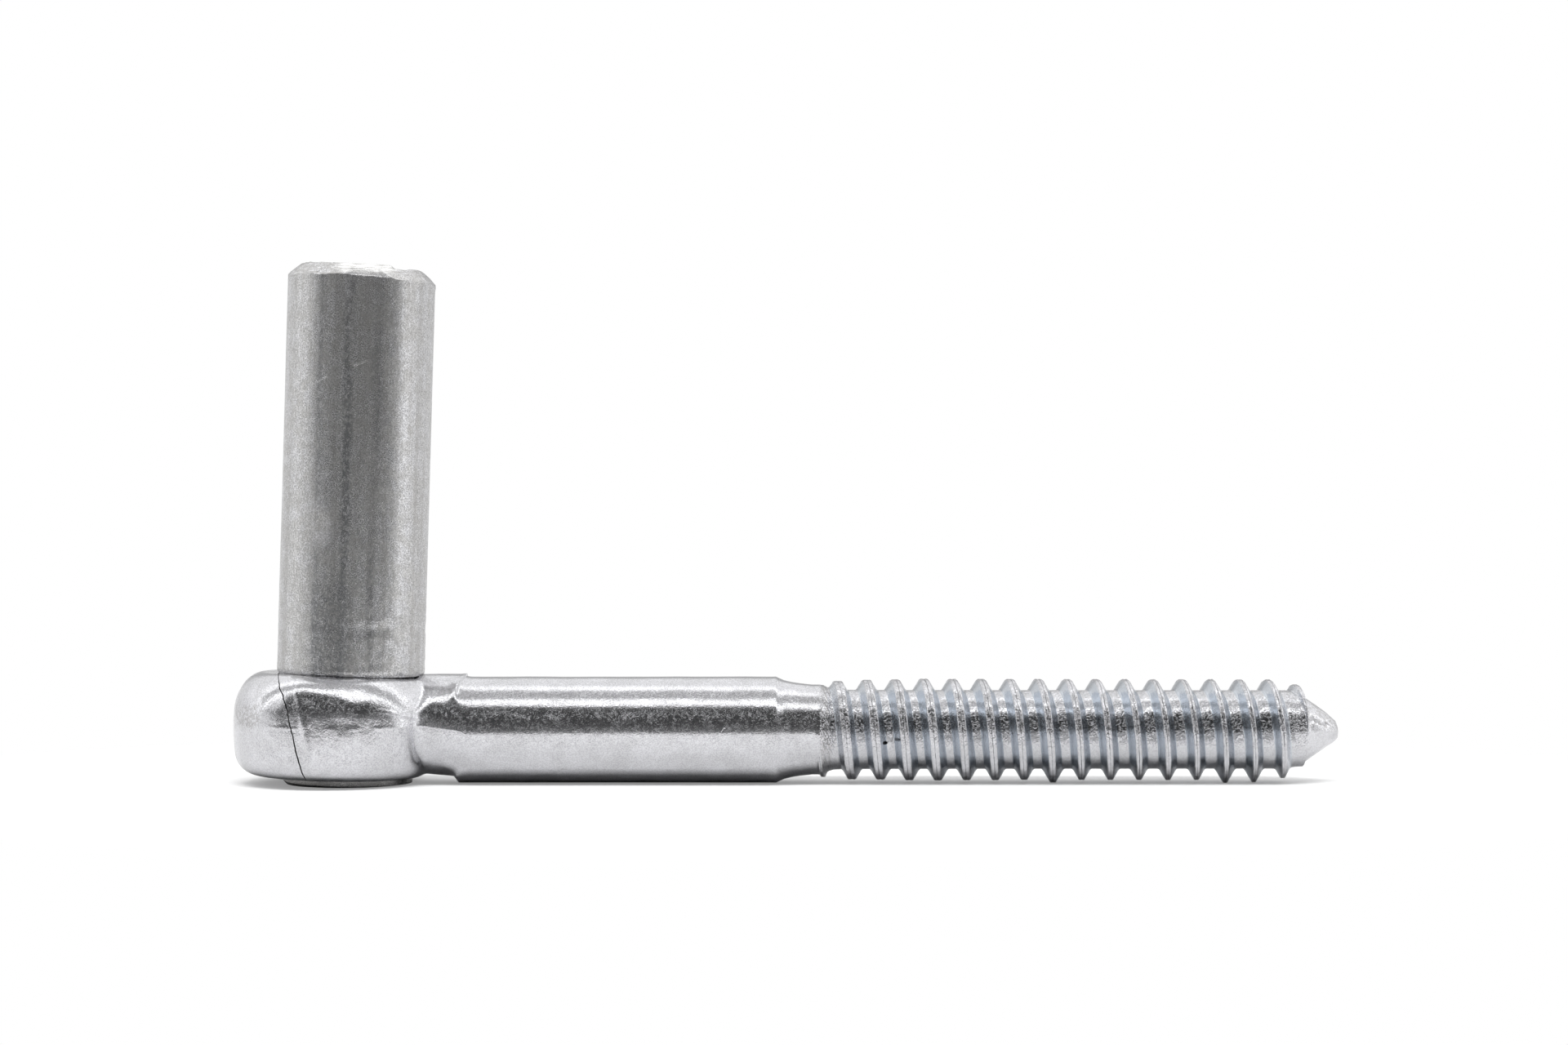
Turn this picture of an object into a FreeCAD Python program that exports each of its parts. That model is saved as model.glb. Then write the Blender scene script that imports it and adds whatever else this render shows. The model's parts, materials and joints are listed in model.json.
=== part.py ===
"""Screw-in gate hinge pin: a round pin whose tenon is pressed through the forged eye of a lag screw.

Frame, in millimetres: +X runs along the screw towards its point, +Z is up, and the origin is where
the pin's axis meets the seat, the flat top of the eye that the gate's strap turns on.
The pin leans a little towards the point of the screw, and the eye leans with it.
"""
import FreeCAD, Part
import os
import re

import Sketcher
from FreeCAD import Rotation, Vector

# Driving dimensions: alias, value, what it is. Lengths in millimetres, angles in degrees.
SIZES = [
    ("pin_diameter", 16.0, "outside of the pin that the gate's strap eye turns on"),
    ("pin_reach", 44.3, "from the seat to the top of the pin"),
    ("pin_lean", 1.6, "angle by which the pin leans towards the screw's point"),
    ("pin_bevel_width", 1.5, "bevel round the top of the pin, measured across"),
    ("pin_bevel_height", 1.25, "bevel round the top of the pin, measured down"),
    ("tenon_step", 1.0, "shoulder between the pin and its tenon, on the radius"),
    ("foot_proud", 1.08, "how far the tenon's foot stands below the eye"),
    ("foot_bevel", 0.45, "bevel round the foot's rim"),
    ("eye_rim", 3.25, "how far the eye's radius exceeds the pin's"),
    ("eye_setback", 1.5, "eye's centre behind the pin's axis, away from the screw"),
    ("eye_height", 10.9, "height of the forged eye"),
    ("eye_top_edge_width", 2.5, "how far in the eye's upper edge starts to fall"),
    ("eye_top_edge_height", 4.2, "how far down the eye's upper edge reaches"),
    ("eye_bottom_edge_width", 1.9, "how far in the eye's lower edge starts to rise"),
    ("eye_bottom_edge_height", 2.2, "how far up the eye's lower edge reaches"),
    ("neck_length", 3.5, "forged neck between the eye and the shank"),
    ("neck_sink", 0.05, "how far the neck lies inside the eye's height, above and below"),
    ("die_step_length", 1.3, "short cone where the forging die ended on the shank"),
    ("shank_diameter", 11.6, "plain shank"),
    ("shank_length", 32.1, "plain shank between the die step and the taper"),
    ("taper_length", 3.4, "taper from the shank down to the rolling blank"),
    ("taper_shoulder_length", 0.9, "steep first part of the taper"),
    ("taper_shoulder_drop", 0.5, "how far the steep part falls, on the radius"),
    ("relief_length", 1.0, "plain rolling blank in front of the thread"),
    ("thread_diameter", 11.1, "over the thread's crests"),
    ("thread_depth", 1.2, "from crest to root, on the radius"),
    ("thread_pitch", 3.15, "distance between turns"),
    ("thread_crest", 0.6, "flat on the thread's crest"),
    ("thread_flank_angle", 30.0, "each flank against the square across the axis"),
    ("thread_length", 53.2, "from the relief to the base of the point"),
    ("thread_lead_in", 8.0, "stretch over which the first turns rise to full height"),
    ("thread_lead_out", 5.0, "stretch over which the last turns fall away"),
    ("crest_drop", 0.4, "how much lower the crests are where the thread starts and ends"),
    ("end_bevel", 0.6, "how far the last turn leans back where it is cut off"),
    ("point_length", 4.1, "cone beyond the thread"),
    ("point_step", 0.6, "step from the thread's root in to the cone, on the radius"),
    ("point_nose", 1.2, "radius of the cone's blunt end"),
    ("nose_bevel", 0.4, "bevel round the blunt end's rim"),
]

# Sizes that follow from the driving ones: alias, formula, what it is.
FOLLOWING = [
    ("pin_radius", "pin_diameter / 2", "pin"),
    ("tenon_radius", "pin_radius - tenon_step", "tenon, and the bore that it fills"),
    ("foot_level", "eye_height + foot_proud", "depth of the foot under the seat"),
    ("eye_radius", "pin_radius + eye_rim", "outside of the eye"),
    ("eye_reach", "eye_radius - eye_setback", "from the pin's axis to the eye's screw side"),
    ("seat_fall", "eye_reach * tan(pin_lean * 1 deg)", "fall of the leaning seat at its screw side"),
    ("bore_fall", "tenon_radius * tan(pin_lean * 1 deg)", "fall of the eye's underside at the bore"),
    ("neck_radius", "(eye_height + bore_fall - seat_fall) / 2 - neck_sink", "neck"),
    ("neck_level", "(eye_height + bore_fall + seat_fall) / 2", "depth of the neck's axis under the seat"),
    ("neck_end", "eye_reach + neck_length", "where the neck ends, from the pin's axis"),
    ("shank_radius", "shank_diameter / 2", "shank"),
    ("shank_level", "foot_level - shank_radius", "depth of the screw's axis, level underneath with the foot"),
    ("shank_start", "neck_end + die_step_length", "where the plain shank starts"),
    ("shank_end", "shank_start + shank_length", "where the taper starts"),
    ("crest_radius", "thread_diameter / 2", "thread's crest"),
    ("root_radius", "crest_radius - thread_depth", "thread's root"),
    ("blank_radius", "(crest_radius + root_radius) / 2", "blank that the thread is rolled from"),
    ("taper_end", "shank_end + taper_length", "where the taper meets the blank"),
    ("thread_start", "taper_end + relief_length", "where the thread leaves the blank"),
    ("thread_end", "thread_start + thread_length", "base of the point"),
    ("point_end", "thread_end + point_length", "end of the screw"),
    ("point_radius", "root_radius - point_step", "base of the cone"),
]

TRIM_MARGIN = 1.0  # how far a cutting tool reaches past what it cuts
NECK_ROOTING = 1.0  # how far inside the bore the neck is started, before the bore is cut
RIDGE_ROOTING = 0.25  # how deep the thread's ridge is rooted in the core
CREST_EXCESS = 0.3  # how far the ridge stands over the crests before it is trimmed
TOP_BANDS = 3  # flat bands that the eye's upper edge is drawn with, along an ellipse
BOTTOM_BANDS = 1  # the same for its lower edge
SCREW_AXIS = (None, "-shank_level", None)  # where the screw's axis lies in an upright sketch

doc = FreeCAD.newDocument("GateHingePin")
sheet = doc.addObject("Spreadsheet::Sheet", "Sizes")
workings = doc.addObject("Spreadsheet::Sheet", "Workings")


def fill_sheet():
    """Writes the driving dimensions and what follows from them into the spreadsheet."""
    for row, (alias, value, note) in enumerate(SIZES, start=1):
        sheet.set(f"A{row}", note)
        sheet.set(f"B{row}", str(value))
        sheet.setAlias(f"B{row}", alias)
    for row, (alias, formula, note) in enumerate(FOLLOWING, start=len(SIZES) + 1):
        sheet.set(f"A{row}", note)
        sheet.set(f"B{row}", f"={formula}")
        sheet.setAlias(f"B{row}", alias)
    doc.recompute()


def in_sheet(formula):
    """Gives the formula with each alias in it written as a cell of the spreadsheet."""
    aliases = {alias for alias, *_ in SIZES + FOLLOWING}
    return re.sub(
        r"[a-z_]+", lambda word: f"Sizes.{word[0]}" if word[0] in aliases else word[0], formula
    )


def length(formula):
    """Gives the formula as an expression for a length in millimetres."""
    return f"({in_sheet(formula)}) * 1 mm"


def worth(formula):
    """Gives what a formula of aliases comes to, worked out in a sheet that nothing depends on."""
    workings.set("A1", f"={in_sheet(formula)}")
    workings.recompute()
    return float(workings.get("A1"))


def plane(body, role):
    """Gives the body's own origin plane or axis that has this role, such as XZ_Plane."""
    return next(f for f in body.Origin.OriginFeatures if f.Role == role)


def add_sketch(body, name, role, shift=(None, None, None), lean=None):
    """Adds a sketch on an origin plane of the body, shifted and turned in it by formulas."""
    sketch = body.newObject("Sketcher::SketchObject", name)
    sketch.AttachmentSupport = [(plane(body, role), "")]
    sketch.MapMode = "FlatFace"
    sketch.AttachmentOffset = FreeCAD.Placement(Vector(), Rotation(Vector(0, 0, 1), 0))
    for axis, formula in zip("xyz", shift):
        if formula:
            sketch.setExpression(f"AttachmentOffset.Base.{axis}", length(formula))
    if lean:
        sketch.setExpression("AttachmentOffset.Rotation.Angle", f"({in_sheet(lean)}) * 1 deg")
    doc.recompute()
    return sketch


def locate(sketch, edge, x_formula, y_formula):
    """Fixes the start of an edge at two formulas measured from the sketch's origin."""
    for kind, formula, axis in (("DistanceX", x_formula, -2), ("DistanceY", y_formula, -1)):
        if formula == "0":
            sketch.addConstraint(Sketcher.Constraint("PointOnObject", edge, 1, axis))
            continue
        added = sketch.addConstraint(Sketcher.Constraint(kind, -1, 1, edge, 1, worth(formula)))
        sketch.setExpression(f"Constraints[{added}]", in_sheet(formula))


def draw_outline(sketch, corners):
    """Draws a closed outline of straight edges through corners given as formulas."""
    points = [Vector(worth(x_formula), worth(y_formula), 0) for x_formula, y_formula in corners]
    for start, end in zip(points, points[1:] + points[:1]):
        sketch.addGeometry(Part.LineSegment(start, end), False)
    for number, (x_formula, y_formula) in enumerate(corners):
        following = (number + 1) % len(corners)
        sketch.addConstraint(Sketcher.Constraint("Coincident", number, 2, following, 1))
        locate(sketch, number, x_formula, y_formula)
    doc.recompute()
    if sketch.solve() != 0:
        raise RuntimeError(f"{sketch.Name} can't be solved")
    return sketch


def draw_circle(sketch, radius_formula):
    """Draws a circle round the sketch's origin, of a radius given as a formula."""
    radius = worth(radius_formula)
    sketch.addGeometry(Part.Circle(Vector(), Vector(0, 0, 1), radius), False)
    sketch.addConstraint(Sketcher.Constraint("Coincident", 0, 3, -1, 1))
    added = sketch.addConstraint(Sketcher.Constraint("Radius", 0, radius))
    sketch.setExpression(f"Constraints[{added}]", in_sheet(radius_formula))
    doc.recompute()
    return sketch


def turn(body, kind, name, sketch, axis):
    """Turns a sketch all the way round one of its own axes: kind is Revolution or Groove."""
    feature = body.newObject(f"PartDesign::{kind}", name)
    feature.Profile = sketch
    feature.ReferenceAxis = (sketch, [axis])
    feature.Angle = 360
    doc.recompute()
    return feature


def bevel_edges(body, name, formula, chosen):
    """Bevels the edges of the body's tip that the function chosen picks."""
    base = body.Tip
    names = [f"Edge{n}" for n, edge in enumerate(base.Shape.Edges, start=1) if chosen(edge)]
    if not names:
        raise ValueError(f"{name} finds no edge to bevel")
    bevel = body.newObject("PartDesign::Chamfer", name)
    bevel.Base = (base, names)
    bevel.setExpression("Size", length(formula))
    doc.recompute()
    return bevel


def edge_bands(width, height, bands, above):
    """Lists corners along a quarter ellipse, from the eye's side to its top or underside."""
    corners = []
    for number in range(bands + 1):
        angle = f"{90 * number / bands} deg"
        inset = f"eye_radius - {width} * (1 - cos({angle}))"
        rise = f"{height} * (1 - sin({angle}))"
        corners.append((inset, f"-{rise}" if above else f"-eye_height + {rise}"))
    return corners


def build_hinge_pin():
    """Builds the pin with its bevelled top and the tenon whose foot shows under the eye."""
    body = doc.addObject("PartDesign::Body", "HingePin")
    body.Label = "hinge_pin"
    outline = add_sketch(body, "PinOutline", "XZ_Plane", lean="-pin_lean")
    tenon_end = f"-(foot_level + {TRIM_MARGIN})"
    draw_outline(outline, [
        ("0", tenon_end),
        ("tenon_radius", tenon_end),
        ("tenon_radius", "0"),
        ("pin_radius", "0"),
        ("pin_radius", "pin_reach - pin_bevel_height"),
        ("pin_radius - pin_bevel_width", "pin_reach"),
        ("0", "pin_reach"),
    ])
    turn(body, "Revolution", "PinBar", outline, "V_Axis")

    # The foot is dressed level with the underside of the shank, so the part stands flat.
    level = add_sketch(body, "FootLevel", "XY_Plane", shift=(None, None, "-foot_level"))
    draw_circle(level, "2 * pin_radius")
    foot = body.newObject("PartDesign::Pocket", "Foot")
    foot.Profile = level
    foot.setExpression("Length", length(f"2 * tenon_radius + {TRIM_MARGIN}"))
    doc.recompute()
    bevel_edges(
        body, "FootRim", "foot_bevel",
        lambda edge: abs(edge.BoundBox.ZMax + sheet.foot_level) < 0.01,
    )
    return body


def build_eye_screw():
    """Builds the forged eye, its neck, the shank and the threaded end as one forging."""
    body = doc.addObject("PartDesign::Body", "EyeScrew")
    body.Label = "eye_screw"
    add_eye_and_neck(body)
    add_blank(body)
    bore = add_sketch(body, "BoreOutline", "XZ_Plane", lean="-pin_lean")
    draw_outline(bore, [
        ("0", f"-(eye_height + {TRIM_MARGIN})"),
        ("tenon_radius", f"-(eye_height + {TRIM_MARGIN})"),
        ("tenon_radius", f"{TRIM_MARGIN}"),
        ("0", f"{TRIM_MARGIN}"),
    ])
    turn(body, "Groove", "Bore", bore, "V_Axis")
    add_thread(body)
    return body


def add_eye_and_neck(body):
    """Adds the leaning eye, the neck that joins it to the shank, and the step where the die ended."""
    eye = add_sketch(
        body, "EyeOutline", "XZ_Plane", lean="-pin_lean",
        shift=("-eye_setback * cos(pin_lean * 1 deg)", "eye_setback * sin(pin_lean * 1 deg)", None),
    )
    lower = edge_bands("eye_bottom_edge_width", "eye_bottom_edge_height", BOTTOM_BANDS, above=False)
    upper = edge_bands("eye_top_edge_width", "eye_top_edge_height", TOP_BANDS, above=True)
    draw_outline(eye, [("0", "-eye_height"), *reversed(lower), *upper, ("0", "0")])
    turn(body, "Revolution", "Eye", eye, "V_Axis")

    root = f"(tenon_radius - {NECK_ROOTING})"
    neck = add_sketch(body, "NeckSection", "YZ_Plane", shift=(None, "-neck_level", root))
    draw_circle(neck, "neck_radius")
    pad = body.newObject("PartDesign::Pad", "Neck")
    pad.Profile = neck
    pad.setExpression("Length", length(f"neck_end - {root}"))
    doc.recompute()

    start = add_sketch(body, "DieStepStart", "YZ_Plane", shift=(None, "-neck_level", "neck_end"))
    draw_circle(start, "neck_radius")
    end = add_sketch(body, "DieStepEnd", "YZ_Plane", shift=(None, "-shank_level", "shank_start"))
    draw_circle(end, "shank_radius")
    step = body.newObject("PartDesign::AdditiveLoft", "DieStep")
    step.Profile = start
    step.Sections = [end]
    step.Ruled = True
    doc.recompute()


def add_blank(body):
    """Adds the plain shank, the blank for the thread and the point, all on one axis."""
    blank = add_sketch(body, "BlankOutline", "XZ_Plane", shift=SCREW_AXIS)
    draw_outline(blank, [
        ("shank_start", "0"),
        ("shank_start", "shank_radius"),
        ("shank_end", "shank_radius"),
        ("shank_end + taper_shoulder_length", "shank_radius - taper_shoulder_drop"),
        ("taper_end", "blank_radius"),
        ("thread_start", "blank_radius"),
        ("thread_start + thread_depth", "root_radius"),
        ("thread_end", "root_radius"),
        ("thread_end", "point_radius"),
        ("point_end", "point_nose"),
        ("point_end", "0"),
    ])
    turn(body, "Revolution", "Blank", blank, "H_Axis")
    bevel_edges(
        body, "NoseRim", "nose_bevel",
        lambda edge: abs(edge.BoundBox.XMin - sheet.point_end) < 0.01,
    )


def add_thread(body):
    """Adds the rolled thread: one ridge along a helix, cut back where it rises and falls away."""
    ridge_body = doc.addObject("PartDesign::Body", "ThreadRidge")
    ridge_body.Label = "thread_ridge"
    foot_radius = f"(root_radius - {RIDGE_ROOTING})"
    top_radius = f"(crest_radius + {CREST_EXCESS})"
    ridge = add_sketch(ridge_body, "RidgeProfile", "XZ_Plane", shift=("thread_start", "-shank_level", None))

    def half_width(radius):
        """Gives half the ridge's width at a radius, from the flat on its crest and its flanks."""
        return f"(thread_crest / 2 + (crest_radius - {radius}) * tan(thread_flank_angle * 1 deg))"

    draw_outline(ridge, [
        (f"-{half_width(foot_radius)}", foot_radius),
        (half_width(foot_radius), foot_radius),
        (half_width(top_radius), top_radius),
        (f"-{half_width(top_radius)}", top_radius),
    ])
    thread = ridge_body.newObject("PartDesign::AdditiveHelix", "Thread")
    thread.Profile = ridge
    thread.ReferenceAxis = (ridge, ["H_Axis"])
    thread.Mode = 0  # by pitch and height
    thread.setExpression("Pitch", length("thread_pitch"))
    thread.setExpression("Height", length("thread_length + thread_pitch"))
    thread.LeftHanded = False
    thread.Reversed = False
    doc.recompute()

    # The crests start under the blank's surface, rise, run level, and drop where the point was formed.
    buried = f"blank_radius - {RIDGE_ROOTING}"
    inside = f"{foot_radius} - {TRIM_MARGIN}"
    above = f"{top_radius} + {TRIM_MARGIN}"
    crests = add_sketch(ridge_body, "CrestLine", "XZ_Plane", shift=SCREW_AXIS)
    draw_outline(crests, [
        ("taper_end", buried),
        ("thread_start", buried),
        ("thread_start + thread_pitch / 2", "crest_radius - crest_drop"),
        ("thread_start + thread_lead_in", "crest_radius"),
        ("thread_end - thread_lead_out", "crest_radius"),
        ("thread_end - end_bevel", "crest_radius - crest_drop"),
        ("thread_end - end_bevel / 4", inside),
        ("thread_end + 2 * thread_pitch", inside),
        ("thread_end + 2 * thread_pitch", above),
        ("taper_end", above),
    ])
    turn(ridge_body, "Groove", "CrestTrim", crests, "H_Axis")

    joined = body.newObject("PartDesign::Boolean", "ThreadOnBlank")
    joined.Type = "Fuse"
    joined.setObjects([ridge_body])
    doc.recompute()


def check(bodies):
    """Stops the build if an object failed to recompute or a sub-part is not one valid solid."""
    for item in doc.Objects:
        if {"Invalid", "Error"} & set(item.State):
            raise RuntimeError(f"{item.Name} failed: {item.State}")
    for body in bodies:
        shape = body.Shape
        if shape.isNull() or not shape.isValid() or len(shape.Solids) != 1:
            raise RuntimeError(f"{body.Label} is not one valid solid")


def main():
    """Builds both sub-parts, checks them and writes one STEP file for each."""
    fill_sheet()
    bodies = [build_hinge_pin(), build_eye_screw()]
    doc.recompute()
    check(bodies)
    os.makedirs("parts", exist_ok=True)
    for body in bodies:
        body.Shape.exportStep(os.path.join("parts", f"{body.Label}.step"))
        print(body.Label, "volume", round(body.Shape.Volume, 1), "faces", len(body.Shape.Faces))


main()
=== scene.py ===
"""Dresses the screw-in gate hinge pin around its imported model.

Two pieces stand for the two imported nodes: the drawn bar that the gate turns on, and
the forged eye screw with its rolled thread. Each is one closed mesh, worked in
millimetres in the part's own frame and scaled to metres when it is finished. The
origin is where the bar's axis meets the seat, +X runs along the screw and +Z is up.
"""

import json
import logging
import math
from dataclasses import dataclass
from enum import Enum
from functools import reduce

import bmesh
import bpy
import numpy as np
from mathutils import Matrix, Vector, noise


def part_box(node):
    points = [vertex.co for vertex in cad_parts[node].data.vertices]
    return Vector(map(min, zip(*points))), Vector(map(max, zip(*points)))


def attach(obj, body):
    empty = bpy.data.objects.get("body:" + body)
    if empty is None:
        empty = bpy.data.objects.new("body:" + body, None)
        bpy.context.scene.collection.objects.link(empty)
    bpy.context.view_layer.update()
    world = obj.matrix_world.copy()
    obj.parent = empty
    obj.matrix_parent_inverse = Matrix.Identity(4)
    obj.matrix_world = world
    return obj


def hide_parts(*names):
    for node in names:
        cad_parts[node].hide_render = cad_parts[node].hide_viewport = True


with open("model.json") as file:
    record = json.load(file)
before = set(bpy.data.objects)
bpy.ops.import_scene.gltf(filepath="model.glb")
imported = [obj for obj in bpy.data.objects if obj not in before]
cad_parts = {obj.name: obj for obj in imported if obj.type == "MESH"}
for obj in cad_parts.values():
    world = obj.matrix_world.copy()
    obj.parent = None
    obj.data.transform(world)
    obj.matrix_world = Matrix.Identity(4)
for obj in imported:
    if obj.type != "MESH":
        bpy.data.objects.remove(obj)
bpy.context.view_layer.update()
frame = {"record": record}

LOG = logging.getLogger("gate_hinge_pin")

MM = 0.001
TABLE_GAP = 0.00002
X_AXIS = Vector((1.0, 0.0, 0.0))
Z_AXIS = Vector((0.0, 0.0, 1.0))
EVEN = (1.0, 1.0, 1.0)
WHITE = (1.0, 1.0, 1.0, 1.0)

Knots = tuple[tuple[float, float], ...]


# Small tools for shapes


def ease(low: float, high: float, value: np.ndarray) -> np.ndarray:
    """Gives a smooth step from 0 at low to 1 at high."""
    t = np.clip((value - low) / (high - low), 0.0, 1.0)
    return t * t * (3.0 - 2.0 * t)


def follow(knots: Knots, value: np.ndarray) -> np.ndarray:
    """Reads a line through the knots, each a place and a size, at each value."""
    places, sizes = zip(*knots)
    return np.interp(value, places, sizes)


def bump_line(distance: np.ndarray, width: float) -> np.ndarray:
    """Gives a rounded ridge of height 1 and the given width at distance 0."""
    return np.exp(-((distance / width) ** 2))


def ripple(points: np.ndarray, size: float, shift: float) -> np.ndarray:
    """Gives a smooth uneven value, about -1 to 1, at each point.

    Args:
        points: Rows of x, y and z in millimetres.
        size: The width of one swell, in millimetres.
        shift: Moves the pattern, so that each use has its own.

    Returns:
        One value for each point.
    """
    start = Vector((shift, -1.7 * shift, 0.6 * shift))
    return np.array([noise.noise(Vector(row) / size + start) for row in points])


def places_of(verts: list[bmesh.types.BMVert]) -> np.ndarray:
    """Reads where the vertices are, as rows of x, y and z."""
    return np.array([vert.co[:] for vert in verts], float)


def place(verts: list[bmesh.types.BMVert], rows: np.ndarray) -> None:
    """Moves each vertex to its row."""
    for vert, row in zip(verts, rows):
        vert.co = row


def draw_profile(
    bm: bmesh.types.BMesh, corners: tuple[tuple[float, float, float], ...], cuts: tuple[int, ...]
) -> list[bmesh.types.BMEdge]:
    """Draws a line through corners and divides each of its runs.

    Args:
        bm: The mesh that gets the line.
        corners: The line's corners in millimetres.
        cuts: How many new points each run gets.

    Returns:
        All the edges of the line.
    """
    verts = [bm.verts.new(corner) for corner in corners]
    runs = [bm.edges.new(ends) for ends in zip(verts, verts[1:])]
    for edge, count in zip(runs, cuts):
        bmesh.ops.subdivide_edges(bm, edges=[edge], cuts=count)
    return list(bm.edges)


def open_loop(bm: bmesh.types.BMesh, level: float, reach: float = 0.02) -> list[bmesh.types.BMEdge]:
    """Finds the open edges that lie at one place along X.

    Args:
        bm: The mesh.
        level: The place along X.
        reach: How far off it an end may lie.

    Returns:
        The edges.
    """
    return [
        edge
        for edge in bm.edges
        if edge.is_boundary and all(abs(vert.co.x - level) < reach for vert in edge.verts)
    ]


def add_from(bm: bmesh.types.BMesh, other: bmesh.types.BMesh) -> None:
    """Moves the other mesh's faces into this mesh.

    Args:
        bm: The mesh that gets the faces.
        other: The mesh that they come from, which is freed.
    """
    carrier = bpy.data.meshes.new("carrier")
    other.to_mesh(carrier)
    other.free()
    bm.from_mesh(carrier)
    bpy.data.meshes.remove(carrier)


def soundness(bm: bmesh.types.BMesh) -> str:
    """Counts a mesh's open edges and measures its volume, for the log."""
    loose = sum(1 for edge in bm.edges if not edge.is_manifold)
    return f"{loose} open edges, {bm.calc_volume(signed=True):.1f} cubic mm"


def carve(
    bm: bmesh.types.BMesh, cutters: list[tuple[bmesh.types.BMesh, bpy.types.Material]],
    material: bpy.types.Material,
) -> bmesh.types.BMesh:
    """Cuts solids out of a closed mesh.

    Args:
        bm: The mesh that is cut, which is freed.
        cutters: Each cutting mesh, with the finish that its cut faces get.
        material: The finish of the mesh that is cut.

    Returns:
        The new mesh, with the finishes' places in their order.
    """
    made = []
    for index, (mesh, finish) in enumerate([(bm, material), *cutters]):
        data = bpy.data.meshes.new(f"carve_{index}")
        bmesh.ops.recalc_face_normals(mesh, faces=mesh.faces)
        mesh.to_mesh(data)
        mesh.free()
        data.materials.append(finish)
        block = bpy.data.objects.new(f"carve_{index}", data)
        bpy.context.scene.collection.objects.link(block)
        made.append(block)
    for cutter in made[1:]:
        modifier = made[0].modifiers.new(cutter.name, "BOOLEAN")
        modifier.operation = "DIFFERENCE"
        modifier.solver = "EXACT"
        modifier.material_mode = "TRANSFER"
        modifier.object = cutter
    depsgraph = bpy.context.evaluated_depsgraph_get()
    data = bpy.data.meshes.new_from_object(made[0].evaluated_get(depsgraph))
    result = bmesh.new()
    result.from_mesh(data)
    for block in made:
        bpy.data.objects.remove(block)
    bpy.data.meshes.remove(data)
    return result


def finish_piece(
    bm: bmesh.types.BMesh, name: str, finishes: list[bpy.types.Material], crisp: float
) -> bpy.types.Object:
    """Makes a piece in metres from a closed mesh in millimetres.

    Args:
        bm: The mesh, which is freed.
        name: The piece's name.
        finishes: The materials, in the order of the faces' material numbers.
        crisp: Edges that turn by more than this angle, in degrees, stay sharp.

    Returns:
        The piece, linked to the scene, at the origin.
    """
    bmesh.ops.scale(bm, vec=(MM, MM, MM), verts=bm.verts)
    bmesh.ops.recalc_face_normals(bm, faces=bm.faces)
    limit = math.radians(crisp)
    for face in bm.faces:
        face.smooth = True
    for edge in bm.edges:
        edge.smooth = not edge.is_manifold or edge.calc_face_angle(0.0) < limit
    data = bpy.data.meshes.new(name)
    bm.to_mesh(data)
    bm.free()
    for finish in finishes:
        data.materials.append(finish)
    piece = bpy.data.objects.new(name, data)
    bpy.context.scene.collection.objects.link(piece)
    triangles = sum(len(polygon.vertices) - 2 for polygon in data.polygons)
    LOG.info("%s: %d triangles", name, triangles)
    return piece


# Small tools for finishes


Link = bpy.types.NodeSocket | float | tuple


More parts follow.
